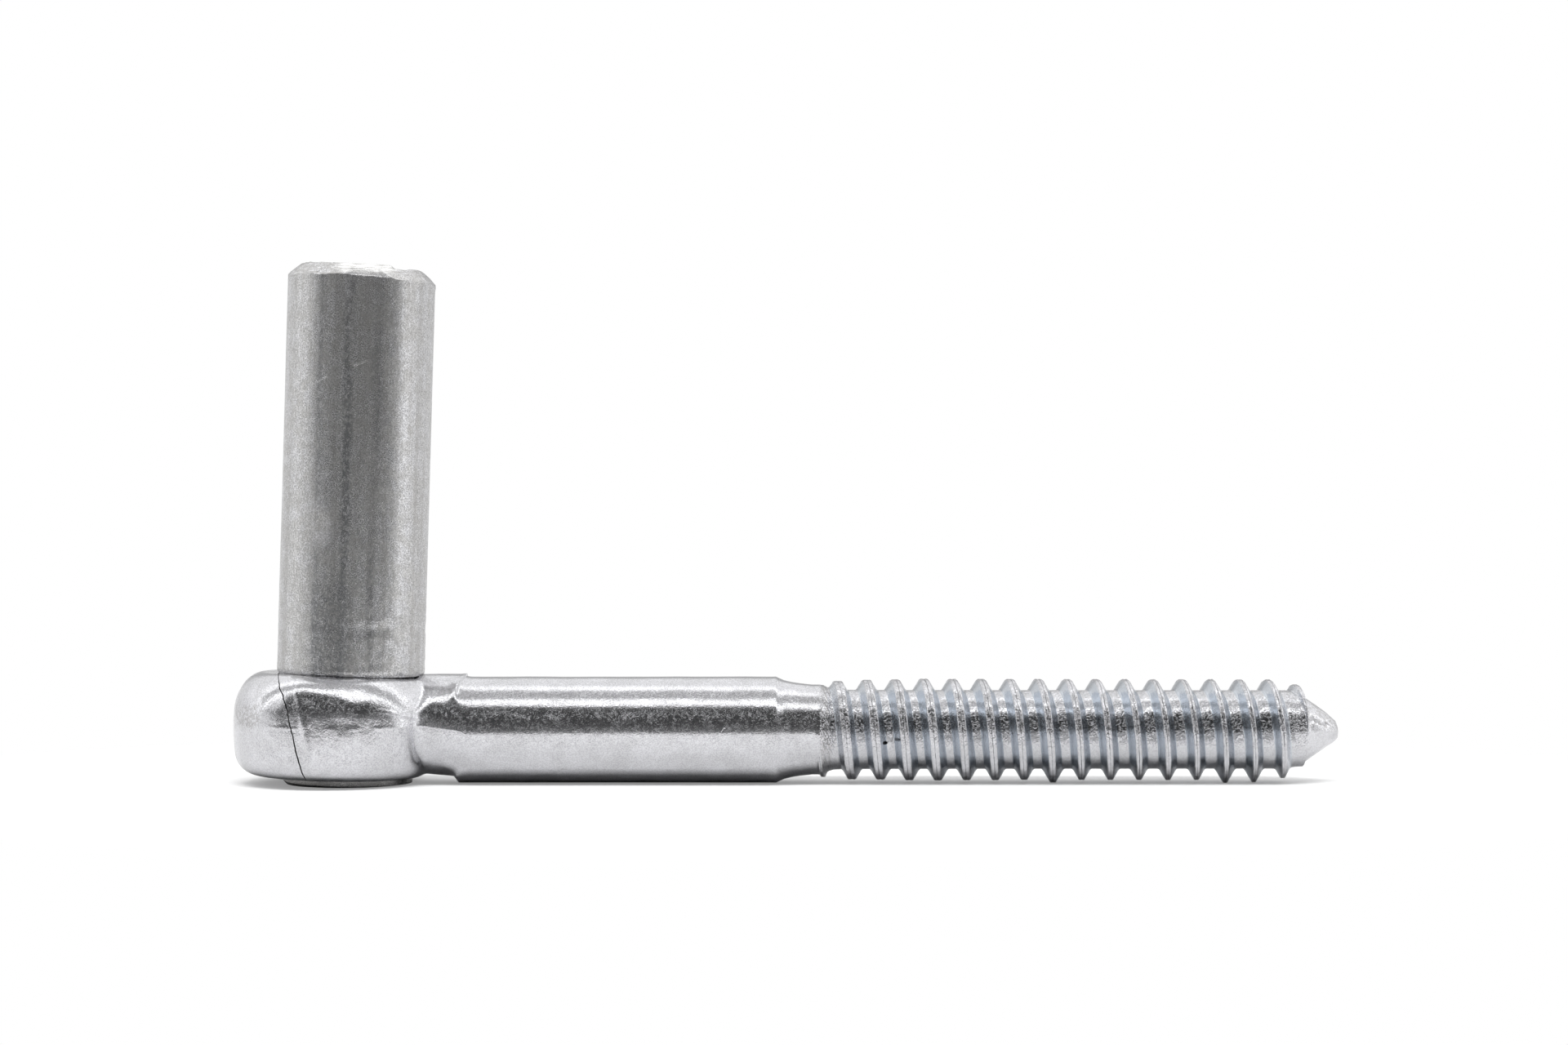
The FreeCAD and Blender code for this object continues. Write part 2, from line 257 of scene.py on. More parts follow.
class Bench:
    """Places nodes in a tree and joins them."""

    def __init__(self, tree: bpy.types.NodeTree) -> None:
        """Starts with the tree that gets the nodes."""
        self.tree = tree

    def node(self, kind: str, links: dict[str | int, Link] | None = None, **settings) -> bpy.types.Node:
        """Adds a node.

        Args:
            kind: The node's type.
            links: For each input, by name or number, a socket or a value.
            settings: The node's own settings.

        Returns:
            The new node.
        """
        made = self.tree.nodes.new(kind)
        for name, value in settings.items():
            setattr(made, name, value)
        for name, value in (links or {}).items():
            if isinstance(value, bpy.types.NodeSocket):
                self.tree.links.new(value, made.inputs[name])
            else:
                made.inputs[name].default_value = value
        return made

    def sum(self, operation: str, *values: Link) -> bpy.types.NodeSocket:
        """Works out one step of arithmetic and gives its result."""
        return self.node("ShaderNodeMath", dict(enumerate(values)), operation=operation).outputs[0]

    def ease(
        self, value: Link, low: float, high: float, start: float = 0.0, end: float = 1.0
    ) -> bpy.types.NodeSocket:
        """Turns a value from low to high into a smooth change from start to end."""
        links = {"Value": value, "From Min": low, "From Max": high, "To Min": start, "To Max": end}
        return self.node("ShaderNodeMapRange", links, interpolation_type="SMOOTHSTEP").outputs[0]

    def blend(self, share: Link, first: Link, second: Link) -> bpy.types.NodeSocket:
        """Mixes two colours by a share of the second."""
        links = {0: share, 6: first, 7: second}
        return self.node("ShaderNodeMix", links, data_type="RGBA").outputs[2]

    def cloud(
        self, where: Link, scale: Link, detail: float = 2.0, rough: float = 0.5, twist: float = 0.0
    ) -> bpy.types.NodeSocket:
        """Gives an uneven value from 0 to 1, with a number of swells to the millimetre.

        Args:
            where: The place that the pattern is read at.
            scale: The number of swells.
            detail: How many finer layers it has.
            rough: The finer layers' share.
            twist: How much the swells are bent.

        Returns:
            The value.
        """
        links = {
            "Vector": where, "Scale": scale, "Detail": detail, "Roughness": rough, "Distortion": twist,
        }
        return self.node("ShaderNodeTexNoise", links).outputs[0]

    def join(self, source: bpy.types.NodeSocket, target: bpy.types.NodeSocket) -> None:
        """Joins an output to an input."""
        self.tree.links.new(source, target)

    def group(self, tree: bpy.types.NodeTree, links: dict[str, Link]) -> bpy.types.Node:
        """Places a node group with its own values."""
        return self.node("ShaderNodeGroup", links, node_tree=tree)

    def parts(self, where: Link) -> tuple[bpy.types.NodeSocket, ...]:
        """Splits a place into its x, y and z."""
        return tuple(self.node("ShaderNodeSeparateXYZ", {0: where}).outputs)

    def distance(self, where: Link) -> bpy.types.NodeSocket:
        """Measures how far a place lies from the origin."""
        return self.node("ShaderNodeVectorMath", {0: where}, operation="LENGTH").outputs["Value"]

    def attribute(self, name: str) -> bpy.types.NodeSocket:
        """Reads a value that the mesh's vertices carry."""
        return self.node("ShaderNodeAttribute", attribute_name=name).outputs["Fac"]

    def fold(self, operation: str, *values: Link) -> bpy.types.NodeSocket:
        """Takes several values in turn through one step of arithmetic."""
        return reduce(lambda total, value: self.sum(operation, total, value), values)

    def multiply(self, *values: Link) -> bpy.types.NodeSocket:
        """Multiplies several values."""
        return self.fold("MULTIPLY", *values)

    def pile(self, height: Link, *layers: tuple[Link, float]) -> bpy.types.NodeSocket:
        """Adds layers to a height, each times its own share."""
        for layer, share in layers:
            height = self.sum("MULTIPLY_ADD", layer, share, height)
        return height

    def paint(self, color: Link, *coats: "Coat") -> bpy.types.NodeSocket:
        """Lays tones over a colour in turn, each where its mask is 1."""
        for mask, tone in coats:
            color = self.blend(mask, color, tone.value)
        return color

    def dress(
        self, shader: bpy.types.Node, color: bpy.types.NodeSocket, gloss: bpy.types.NodeSocket,
        height: bpy.types.NodeSocket, relief: float,
    ) -> None:
        """Joins a finish to its shader.

        Args:
            shader: The material's shader.
            color: The finish's colour.
            gloss: Its roughness.
            height: Its relief, in units of relief.
            relief: What a height of 1 stands for, in metres.
        """
        links = {"Strength": 1.0, "Distance": relief, "Height": height}
        bump = self.node("ShaderNodeBump", links)
        self.join(color, shader.inputs["Base Color"])
        self.join(gloss, shader.inputs["Roughness"])
        self.join(bump.outputs["Normal"], shader.inputs["Normal"])

    def stretch(
        self, where: Link, size: tuple[float, float, float], turn: tuple[float, float, float] = (0, 0, 0),
        shift: tuple[float, float, float] = (0, 0, 0),
    ) -> bpy.types.NodeSocket:
        """Turns by degrees, then stretches and moves the place that a pattern is read at.

        Args:
            where: The place.
            size: The factor along each axis.
            turn: The turn round each axis, in degrees.
            shift: The move along each axis.

        Returns:
            The new place.
        """
        if any(turn):
            angles = tuple(math.radians(angle) for angle in turn)
            where = self.node("ShaderNodeMapping", {"Vector": where, "Rotation": angles}).outputs[0]
        links = {"Vector": where, "Location": shift, "Scale": size}
        return self.node("ShaderNodeMapping", links).outputs[0]


def new_group(
    name: str, inputs: dict[str, tuple[str, Link]], outputs: dict[str, str]
) -> tuple[bpy.types.NodeTree, Bench, dict[str, bpy.types.NodeSocket], bpy.types.Node]:
    """Starts a node group.

    Args:
        name: The group's name.
        inputs: For each input, its kind of socket and its usual value.
        outputs: For each output, its kind of socket.

    Returns:
        The group, its bench, its inputs by name, and the node that takes its outputs.
    """
    group = bpy.data.node_groups.new(name, "ShaderNodeTree")
    for label, (kind, value) in inputs.items():
        socket = group.interface.new_socket(label, in_out="INPUT", socket_type=f"NodeSocket{kind}")
        if kind != "Vector":
            socket.default_value = value
    for label, kind in outputs.items():
        group.interface.new_socket(label, in_out="OUTPUT", socket_type=f"NodeSocket{kind}")
    bench = Bench(group)
    given = bench.node("NodeGroupInput")
    taken = bench.node("NodeGroupOutput")
    sockets = {label: given.outputs[label] for label in inputs}
    return group, bench, sockets, taken


@dataclass
class Effects:
    """The effects that both zinc finishes share, as node groups."""

    def __post_init__(self) -> None:
        """Builds each group once."""
        self.skin = self.plated_skin()
        self.scratches = self.fine_scratches()
        self.nick = self.single_nick()

    def plated_skin(self) -> bpy.types.NodeTree:
        """Builds the plating's clouded colour, its uneven gloss and its grain.

        Returns:
            The group, which reads a place in millimetres.
        """
        inputs = {
            "Place": ("Vector", None),
            "Light": ("Color", (0.7, 0.7, 0.7, 1.0)),
            "Shade": ("Color", (0.5, 0.5, 0.5, 1.0)),
            "Cloud": ("Float", 0.3),
            "Grain": ("Float", 3.0),
            "Gloss Low": ("Float", 0.2),
            "Gloss High": ("Float", 0.4),
            "Fleck": ("Float", 0.4),
        }
        outputs = {"Color": "Color", "Roughness": "Float", "Height": "Float"}
        group, bench, given, taken = new_group("plated_skin", inputs, outputs)
        cloud = bench.cloud(given["Place"], given["Cloud"], 4.0, 0.62)
        grain = bench.cloud(given["Place"], given["Grain"], 2.0, 0.55, 0.15)
        fleck = bench.cloud(given["Place"], bench.sum("MULTIPLY", given["Grain"], 1.9), 1.0, 0.5)
        tone = bench.sum("MULTIPLY_ADD", grain, 0.4, bench.ease(cloud, 0.35, 0.65))
        share = bench.ease(tone, 0.1, 1.3)
        color = bench.blend(share, given["Light"], given["Shade"])
        dust = bench.cloud(given["Place"], bench.sum("MULTIPLY", given["Grain"], 1.35), 2.0, 0.6)
        speck = bench.ease(dust, 0.36, 0.64)
        dim = bench.sum("SUBTRACT", 1.0, bench.sum("MULTIPLY", speck, given["Fleck"]))
        dimmed = bench.node("ShaderNodeVectorMath", {0: color, 3: dim}, operation="SCALE").outputs[0]
        color = bench.blend(bench.ease(fleck, 0.66, 0.72), dimmed, given["Shade"])
        span = bench.sum("SUBTRACT", given["Gloss High"], given["Gloss Low"])
        mixed = bench.sum("MULTIPLY_ADD", speck, 0.5, bench.sum("MULTIPLY", share, 0.5))
        gloss = bench.sum("MULTIPLY_ADD", span, mixed, given["Gloss Low"])
        height = bench.sum("MULTIPLY_ADD", fleck, 0.3, grain)
        bench.join(color, taken.inputs["Color"])
        bench.join(gloss, taken.inputs["Roughness"])
        bench.join(height, taken.inputs["Height"])
        return group

    def fine_scratches(self) -> bpy.types.NodeTree:
        """Builds short thin scratches in three directions.

        Returns:
            The group, which reads a place in millimetres and gives a mask.
        """
        inputs = {"Place": ("Vector", None), "Width": ("Float", 0.02)}
        group, bench, given, taken = new_group("fine_scratches", inputs, {"Mask": "Float"})
        masks = []
        for turn, shift in ((24.0, 3.1), (-41.0, 17.7), (78.0, 41.3)):
            where = bench.stretch(given["Place"], (1.3, 1.3, 8.5), (0.0, turn, 0.0), (shift, 0, shift))
            wave = bench.cloud(where, 1.0, 1.0, 0.4)
            away = bench.sum("ABSOLUTE", bench.sum("SUBTRACT", wave, 0.5))
            line = bench.sum("LESS_THAN", away, given["Width"])
            part = bench.ease(bench.cloud(given["Place"], 1.7, 1.0, 0.5, turn / 30.0), 0.5, 0.56)
            masks.append(bench.multiply(line, part))
        bench.join(bench.fold("MAXIMUM", *masks), taken.inputs["Mask"])
        return group

    def single_nick(self) -> bpy.types.NodeTree:
        """Builds one straight nick round the middle of its own place.

        Returns:
            The group, which reads a place whose X lies along the nick and gives a mask.
        """
        inputs = {"Place": ("Vector", None), "Length": ("Float", 2.0), "Width": ("Float", 0.08)}
        group, bench, given, taken = new_group("single_nick", inputs, {"Mask": "Float"})
        wobble = bench.cloud(given["Place"], 1.3, 1.0)
        parts = bench.node("ShaderNodeSeparateXYZ", {0: given["Place"]}).outputs
        across = bench.sum("MULTIPLY_ADD", bench.sum("SUBTRACT", wobble, 0.5), 0.25, parts[2])
        thin = bench.sum("DIVIDE", bench.sum("ABSOLUTE", across), given["Width"])
        long = bench.sum("DIVIDE", bench.sum("ABSOLUTE", parts[0]), given["Length"])
        front = bench.sum("LESS_THAN", parts[1], 0.0)
        mask = bench.sum("MULTIPLY", bench.ease(thin, 1.0, 0.5), bench.ease(long, 0.5, 0.35))
        bench.join(bench.sum("MULTIPLY", mask, front), taken.inputs["Mask"])
        return group


class Tone(Enum):
    """The zinc's colours, as linear red, green and blue."""

    BRIGHT = (0.785, 0.785, 0.815, 1.0)
    SOFT = (0.70, 0.70, 0.722, 1.0)
    BLUE = (0.60, 0.645, 0.70, 1.0)
    DULL = (0.80, 0.80, 0.82, 1.0)
    WARM = (0.715, 0.71, 0.705, 1.0)
    STAIN = (0.38, 0.37, 0.36, 1.0)
    # Bright sheared metal, also standing in as a painted highlight on part of the top.
    SHEARED_AND_HIGHLIGHT = (0.90, 0.90, 0.89, 1.0)
    # Painted shade for the bar's foot under the eye.
    FOOT_SHADE = (0.27, 0.265, 0.26, 1.0)
    # Dark grey for the crest's seam, for the painted shade at the foot of each flank, and for the painted
    # dark reflection in the valleys.
    SEAM_SHADE_AND_REFLECTION = (0.20, 0.205, 0.215, 1.0)
    STREAK = (0.25, 0.255, 0.265, 1.0)
    SCALE = (0.008, 0.008, 0.009, 1.0)


@dataclass(frozen=True)
class Nick:
    """One nick that a knock has left: its middle, its slope, its length and its width."""

    x: float
    z: float
    slope: float
    length: float
    width: float = 0.09


@dataclass(frozen=True)
class Streak:
    """One dark streak along the bar: its middle along X, its half width and its strength."""

    middle: float
    width: float
    share: float


@dataclass(frozen=True)
class Patch:
    """One uneven patch: its middle along X and Z, and its half width and half height."""

    middle: tuple[float, float]
    size: tuple[float, float]


Coat = tuple[bpy.types.NodeSocket, Tone]


def new_material(name: str) -> tuple[bpy.types.Material, Bench, bpy.types.Node, bpy.types.NodeSocket]:
    """Starts a metal material.

    Args:
        name: The material's name.

    Returns:
        The material, its bench, its shader, and the place in millimetres.
    """
    material = bpy.data.materials.new(name)
    material.use_nodes = True
    bench = Bench(material.node_tree)
    shader = material.node_tree.nodes["Principled BSDF"]
    shader.inputs["Metallic"].default_value = 1.0
    where = bench.node("ShaderNodeTexCoord").outputs["Object"]
    return material, bench, shader, bench.stretch(where, (1 / MM, 1 / MM, 1 / MM))


def knocks(
    bench: Bench, effects: Effects, where: bpy.types.NodeSocket, nicks: tuple[Nick, ...]
) -> bpy.types.NodeSocket:
    """Gathers a few nicks into one mask.

    Args:
        bench: The material's bench.
        effects: The shared node groups.
        where: The place in millimetres.
        nicks: The nicks.

    Returns:
        The mask.
    """
    masks = []
    for nick in nicks:
        moved = bench.stretch(where, EVEN, shift=(-nick.x, 0, -nick.z))
        turned = bench.stretch(moved, EVEN, turn=(0, nick.slope, 0))
        links = {"Place": turned, "Length": nick.length, "Width": nick.width}
        masks.append(bench.group(effects.nick, links).outputs["Mask"])
    return bench.fold("MAXIMUM", *masks)


def patch_mask(bench: Bench, where: bpy.types.NodeSocket, patch: Patch) -> bpy.types.NodeSocket:
    """Masks an uneven round patch on the side that faces -Y.

    Args:
        bench: The material's bench.
        where: The place in millimetres.
        patch: Where the patch lies.

    Returns:
        The mask.
    """
    moved = bench.stretch(where, EVEN, shift=(-patch.middle[0], 0, -patch.middle[1]))
    scaled = bench.stretch(moved, (1 / patch.size[0], 0.0, 1 / patch.size[1]))
    uneven = bench.sum("MULTIPLY_ADD", bench.cloud(where, 0.8, 2.0), 0.9, bench.distance(scaled))
    front = bench.sum("LESS_THAN", bench.parts(where)[1], 0.0)
    return bench.multiply(bench.ease(uneven, 1.45, 0.9), front)


@dataclass(frozen=True)
class DullZinc:
    """The bar's finish: dull plating over drawn steel, with draw lines and stains."""

    metal: float = 0.82
    gloss_low: float = 0.22
    gloss_high: float = 0.34
    cloud: float = 0.5
    grain: float = 5.6
    fleck: float = 0.5
    foot_shade_below: float = -10.7
    relief: float = 0.0000075
    lean: float = 1.6
    scratch_width: float = 0.022
    streak_wander: float = 1.3
    frost: Patch = Patch((-2.4, 16.4), (2.2, 3.2))
    stain: Patch = Patch((-5.6, 20.6), (2.0, 3.6))
    drop: Patch = Patch((-5.2, 7.3), (0.5, 0.8))
    nicks: tuple[Nick, ...] = (
        Nick(-2.35, 31.75, 22.5, 2.6),
        Nick(2.3, 33.6, 21.8, 2.1),
        Nick(-3.9, 37.3, 68.0, 2.4, 0.16),
    )
    streaks: tuple[Streak, ...] = (
        Streak(0.05, 0.75, 0.85), Streak(-3.05, 0.6, 0.5), Streak(3.0, 0.65, 0.6),
    )

    def draw_streaks(self, bench: Bench, where: bpy.types.NodeSocket) -> bpy.types.NodeSocket:
        """Masks the dark streaks that the drawing die has left along the bar.

        Args:
            bench: The material's bench.
            where: The place in millimetres.

        Returns:
            The mask.
        """
        along = bench.stretch(where, EVEN, (0, -self.lean, 0))
        x, y, _ = bench.parts(along)
        wave = bench.cloud(bench.stretch(along, (0.5, 0.5, 0.1)), 1.0, 3.0, 0.6)
        speck = bench.cloud(bench.stretch(along, (3.6, 3.6, 2.2)), 1.0, 3.0, 0.65)
        length = bench.cloud(bench.stretch(along, (0.8, 0.8, 0.07)), 1.0, 1.0)
        masks = []
        for streak in self.streaks:
            bent = bench.sum("MULTIPLY_ADD", wave, self.streak_wander, x)
            away = bench.sum("SUBTRACT", bent, streak.middle + self.streak_wander / 2)
            away = bench.sum("DIVIDE", bench.sum("ABSOLUTE", away), streak.width)
            masks.append(bench.ease(away, 1.0, 0.1, 0.0, streak.share))
        return bench.multiply(
            bench.fold("MAXIMUM", *masks), bench.sum("LESS_THAN", y, 0.0),
            bench.ease(speck, 0.42, 0.56, 0.15, 1.0), bench.ease(length, 0.36, 0.52, 0.3, 1.0),
        )

    def worn_strip(self, bench: Bench, where: bpy.types.NodeSocket) -> bpy.types.NodeSocket:
        """Masks the crinkled strip at the bar's foot, sharp on its left and soft on its right.

        Args:
            bench: The material's bench.
            where: The place in millimetres.

        Returns:
            The mask.
        """
        x, y, z = bench.parts(where)
        crinkled = bench.cloud(where, 4.0, 3.0, 0.65, 0.4)
        return bench.multiply(
            bench.ease(x, -3.35, -3.0), bench.ease(x, 2.2, 0.2), bench.ease(z, 12.0, 8.0),
            bench.sum("LESS_THAN", y, 0.0), bench.ease(crinkled, 0.42, 0.58, 0.05, 0.75),
        )

    def stained(self, bench: Bench, where: bpy.types.NodeSocket) -> bpy.types.NodeSocket:
        """Masks the specks of the stain at the left and of the drop near the foot.

        Args:
            bench: The material's bench.
            where: The place in millimetres.

        Returns:
            The mask.
        """
        specks = bench.ease(bench.cloud(where, 4.2, 2.0, 0.6, 0.5), 0.56, 0.64)
        drop = patch_mask(bench, where, self.drop)
        both = bench.sum("MULTIPLY_ADD", patch_mask(bench, where, self.stain), 0.8, drop)
        return bench.multiply(both, specks)

    def ends(self, bench: Bench, where: bpy.types.NodeSocket) -> tuple[Coat, ...]:
        """Masks the sheared top with its painted highlight, its torn steps, and the painted shade on the
        hammered foot.

        Args:
            bench: The material's bench.
            where: The place in millimetres.

        Returns:
            Each mask with its tone.
        """
        x, _, z = bench.parts(where)
        # The top is painted brighter only between x -0.8 and 6.2 mm: partly its own bright sheared metal,
        # partly a painted highlight where the bevel catches the lamp.
        sheared = bench.multiply(
            bench.ease(x, -0.8, 0.4), bench.ease(x, 6.2, 5.0), bench.ease(z, 43.2, 43.6)
        )
        torn = bench.cloud(bench.stretch(where, (0.45, 0.45, 8.0)), 1.0, 3.0, 0.6)
        torn = bench.multiply(bench.ease(torn, 0.5, 0.57), bench.ease(z, 43.1, 43.3, 0.0, 0.7))
        # Painted shade: the foot below this level, in the gap under the eye, is painted dark.
        foot_shade = bench.ease(z, self.foot_shade_below, self.foot_shade_below - 0.2)
        return (sheared, Tone.SHEARED_AND_HIGHLIGHT), (torn, Tone.STAIN), (foot_shade, Tone.FOOT_SHADE)

    def make(self, effects: Effects) -> bpy.types.Material:
        """Builds the material.

        Args:
            effects: The shared node groups.

        Returns:
            The material.
        """
        material, bench, shader, where = new_material("pin_zinc")
        shader.inputs["Metallic"].default_value = self.metal
        skin = bench.group(effects.skin, {
            "Place": where, "Light": Tone.DULL.value, "Shade": Tone.WARM.value, "Cloud": self.cloud,
            "Grain": self.grain, "Gloss Low": self.gloss_low, "Gloss High": self.gloss_high,
            "Fleck": self.fleck,
        })
        along = bench.stretch(where, (1.0, 1.0, 0.02), (0, -self.lean, 0))
        lines = bench.cloud(along, 0.75, 3.0, 0.6)
        grit = bench.cloud(bench.stretch(along, (2.6, 2.6, 55.0)), 1.0, 3.0, 0.65)
        mottle = bench.ease(bench.cloud(where, 3.0, 3.0, 0.6), 0.4, 0.6, 0.4, 1.0)
        frost = bench.multiply(patch_mask(bench, where, self.frost), mottle)
        clear = bench.ease(frost, 0.0, 1.0, 1.0, 0.2)
        stained = self.stained(bench, where)
        color = bench.paint(
            skin.outputs["Color"],
            (bench.multiply(bench.ease(lines, 0.44, 0.64), 0.4), Tone.STAIN),
            (bench.ease(grit, 0.5, 0.62, 0.0, 0.42), Tone.STAIN),
            (bench.multiply(self.draw_streaks(bench, where), clear), Tone.STREAK),
            (self.worn_strip(bench, where), Tone.STREAK),
            (bench.multiply(stained, 0.75), Tone.STAIN),
            *self.ends(bench, where),
        )
        bands = bench.ease(bench.cloud(along, 0.42, 1.0), 0.42, 0.6)
        rough = bench.sum("MULTIPLY_ADD", bands, 0.7, 0.6)
        dents = bench.cloud(where, 2.4, 2.0, 0.5, 0.4)
        low = bench.ease(bench.parts(where)[2], 10.0, 5.0)
        scratches = bench.group(effects.scratches, {"Place": where, "Width": self.scratch_width})
        height = bench.pile(
            bench.multiply(skin.outputs["Height"], rough),
            (lines, 0.9), (stained, -1.2), (bench.multiply(dents, low), 1.2),
            (scratches.outputs["Mask"], -0.28), (knocks(bench, effects, where, self.nicks), -2.5),
        )
        gloss = bench.sum("MULTIPLY_ADD", frost, 0.35, skin.outputs["Roughness"])
        bench.dress(shader, color, gloss, height, self.relief)
        return material


@dataclass(frozen=True)
class BrightZinc:
    """The screw's finish: bright plating over forged and rolled steel."""

    gloss_low: float = 0.10
    gloss_high: float = 0.19
    cloud: float = 0.35
    grain: float = 5.4
    fleck: float = 0.22
    relief: float = 0.000008
    pebble: float = 1.6
    scratch_width: float = 0.016
    forged_to: float = 13.0
    rolled_from: float = 51.3
    point_from: float = 104.3
    blotch: Patch = Patch((-10.2, -4.4), (2.6, 1.9))
    pit: tuple[float, float, float] = (58.36, -4.3, -7.3)
    pit_size: tuple[float, float, float] = (0.42, 0.6, 0.2)
    nicks: tuple[Nick, ...] = (
        Nick(23.3, -10.4, 28.0, 1.0, 0.12),
        Nick(41.0, -5.9, 60.0, 0.7, 0.12),
        Nick(30.6, -4.3, 40.0, 1.4, 0.08),
    )

    def pitted(self, bench: Bench, where: bpy.types.NodeSocket) -> bpy.types.NodeSocket:
        """Masks the one small pit in the thread.

        Args:
            bench: The material's bench.
            where: The place in millimetres.

        Returns:
            The mask.
        """
        moved = bench.stretch(where, EVEN, shift=tuple(-place for place in self.pit))
        moved = bench.stretch(moved, tuple(1 / size for size in self.pit_size))
        away = bench.sum("MULTIPLY_ADD", bench.cloud(where, 5.0, 1.0), 0.5, bench.distance(moved))
        return bench.ease(away, 1.3, 1.05)

    def painted_dark_reflection(
        self, bench: Bench, where: bpy.types.NodeSocket, lumps: Link, valley: Link
    ) -> bpy.types.NodeSocket:
        """Masks a painted dark reflection: black flecks in the thread's valleys, in a band at the axis's
        height on the front, where the dark room is mirrored.

        Args:
            bench: The material's bench.
            where: The place in millimetres.
            lumps: The crinkles of the rolled steel.
            valley: A mask of the thread's valleys.

        Returns:
            The mask.
        """
        _, y, z = bench.parts(where)
        # The band at the axis's height on the front is where the dark side of the room is mirrored.
        band = bench.ease(bench.sum("ABSOLUTE", bench.sum("ADD", z, 5.8)), 1.8, 0.9)
        front = bench.sum("LESS_THAN", y, 0.0)
        return bench.multiply(bench.ease(lumps, 0.7, 0.1, 0.15, 0.85), band, valley, front)

    def make(self, effects: Effects) -> bpy.types.Material:
        """Builds the material.

        Args:
            effects: The shared node groups.

        Returns:
            The material.
        """
        material, bench, shader, where = new_material("screw_zinc")
        skin = bench.group(effects.skin, {
            "Place": where, "Light": Tone.BRIGHT.value, "Shade": Tone.SOFT.value, "Cloud": self.cloud,
            "Grain": self.grain, "Gloss Low": self.gloss_low, "Gloss High": self.gloss_high,
            "Fleck": self.fleck,
        })
        x, _, z = bench.parts(where)
        flank, seam, valley = (bench.attribute(name) for name in ("flank", "seam", "valley"))
        broken = bench.ease(bench.cloud(where, 2.2, 2.0), 0.3, 0.55, 0.5, 1.0)
        rolled = bench.ease(x, self.rolled_from, self.rolled_from + 0.3)
        lumps = bench.ease(bench.cloud(where, 2.8, 1.5, 0.5, 1.2), 0.46, 0.62)
        crinkle = bench.multiply(
            lumps, rolled, bench.ease(x, 60.0, 53.0, 0.6, 1.0), bench.ease(x, 104.5, 104.2),
            bench.ease(flank, 0.0, 0.8, 1.0, 0.15), bench.ease(z, -8.4, -7.2, 0.35, 1.0),
        )
        hatched = bench.cloud(bench.stretch(where, (5.5, 0.4, 0.9), (0, 24, 0)), 1.0, 1.0)
        hatched = bench.multiply(hatched, bench.ease(x, 53.0, 52.5), rolled)
        pocked = bench.ease(bench.cloud(where, 2.4, 3.0, 0.6), 0.44, 0.58)
        pocked = bench.multiply(pocked, patch_mask(bench, where, self.blotch))
        turned = bench.cloud(bench.stretch(where, (0.12, 4.5, 4.5)), 1.0, 2.0)
        pointed = bench.ease(x, self.point_from, self.point_from + 0.2)
        streaked = bench.multiply(
            bench.ease(turned, 0.48, 0.6, 0.0, 0.5), pointed, bench.ease(z, -6.4, -5.7, 0.2, 1.0)
        )
        pitted = self.pitted(bench, where)
        color = bench.paint(
            skin.outputs["Color"],
            (flank, Tone.BLUE),
            # The crest's seam, plus painted shade along the crease at the foot of each flank.
            (bench.multiply(bench.ease(seam, 0.25, 0.9), broken), Tone.SEAM_SHADE_AND_REFLECTION),
            (bench.multiply(bench.ease(hatched, 0.45, 0.6), 0.5), Tone.STAIN),
            (bench.multiply(pocked, 0.55), Tone.STAIN),
            # Painted reflection: black flecks where the dark room is mirrored in the valleys.
            (self.painted_dark_reflection(bench, where, lumps, valley), Tone.SEAM_SHADE_AND_REFLECTION),
            (streaked, Tone.STAIN),
            (pitted, Tone.SCALE),
        )
        forged = bench.ease(x, self.forged_to, self.forged_to - 2.0)
        hammered = bench.cloud(where, 1.5, 2.0, 0.55, 0.8)
        scratches = bench.group(effects.scratches, {"Place": where, "Width": self.scratch_width})
        height = bench.pile(
            skin.outputs["Height"],
            (bench.cloud(where, 2.2, 3.0, 0.6), self.pebble), (scratches.outputs["Mask"], -0.4),
            (bench.multiply(forged, hammered), 1.9), (crinkle, 6.5), (hatched, 5.0),
            (pocked, -2.0), (knocks(bench, effects, where, self.nicks), -3.0),
        )
        smooth = bench.ease(x, self.point_from, self.point_from + 0.2, 1.0, 0.35)
        height = bench.pile(
            bench.multiply(height, smooth), (bench.multiply(turned, pointed), 1.0), (pitted, -6.0)
        )
        gloss = bench.multiply(skin.outputs["Roughness"], bench.ease(valley, 0.0, 1.0, 1.0, 0.6))
        bench.dress(shader, color, gloss, height, self.relief)
        return material


@dataclass(frozen=True)
class CrackScale:
    """The finish inside the crack: black scale that no light reaches."""

    gloss: float = 0.85

    def make(self) -> bpy.types.Material:
        """Builds the material.

        Returns:
            The material.
        """
        material, bench, shader, where = new_material("crack_scale")
        shader.inputs["Metallic"].default_value = 0.0
        shader.inputs["Roughness"].default_value = self.gloss
        grain = bench.cloud(where, 4.0, 3.0)
        color = bench.blend(grain, Tone.SCALE.value, (0.03, 0.028, 0.026, 1.0))
        bench.join(color, shader.inputs["Base Color"])
        return material


# The bar


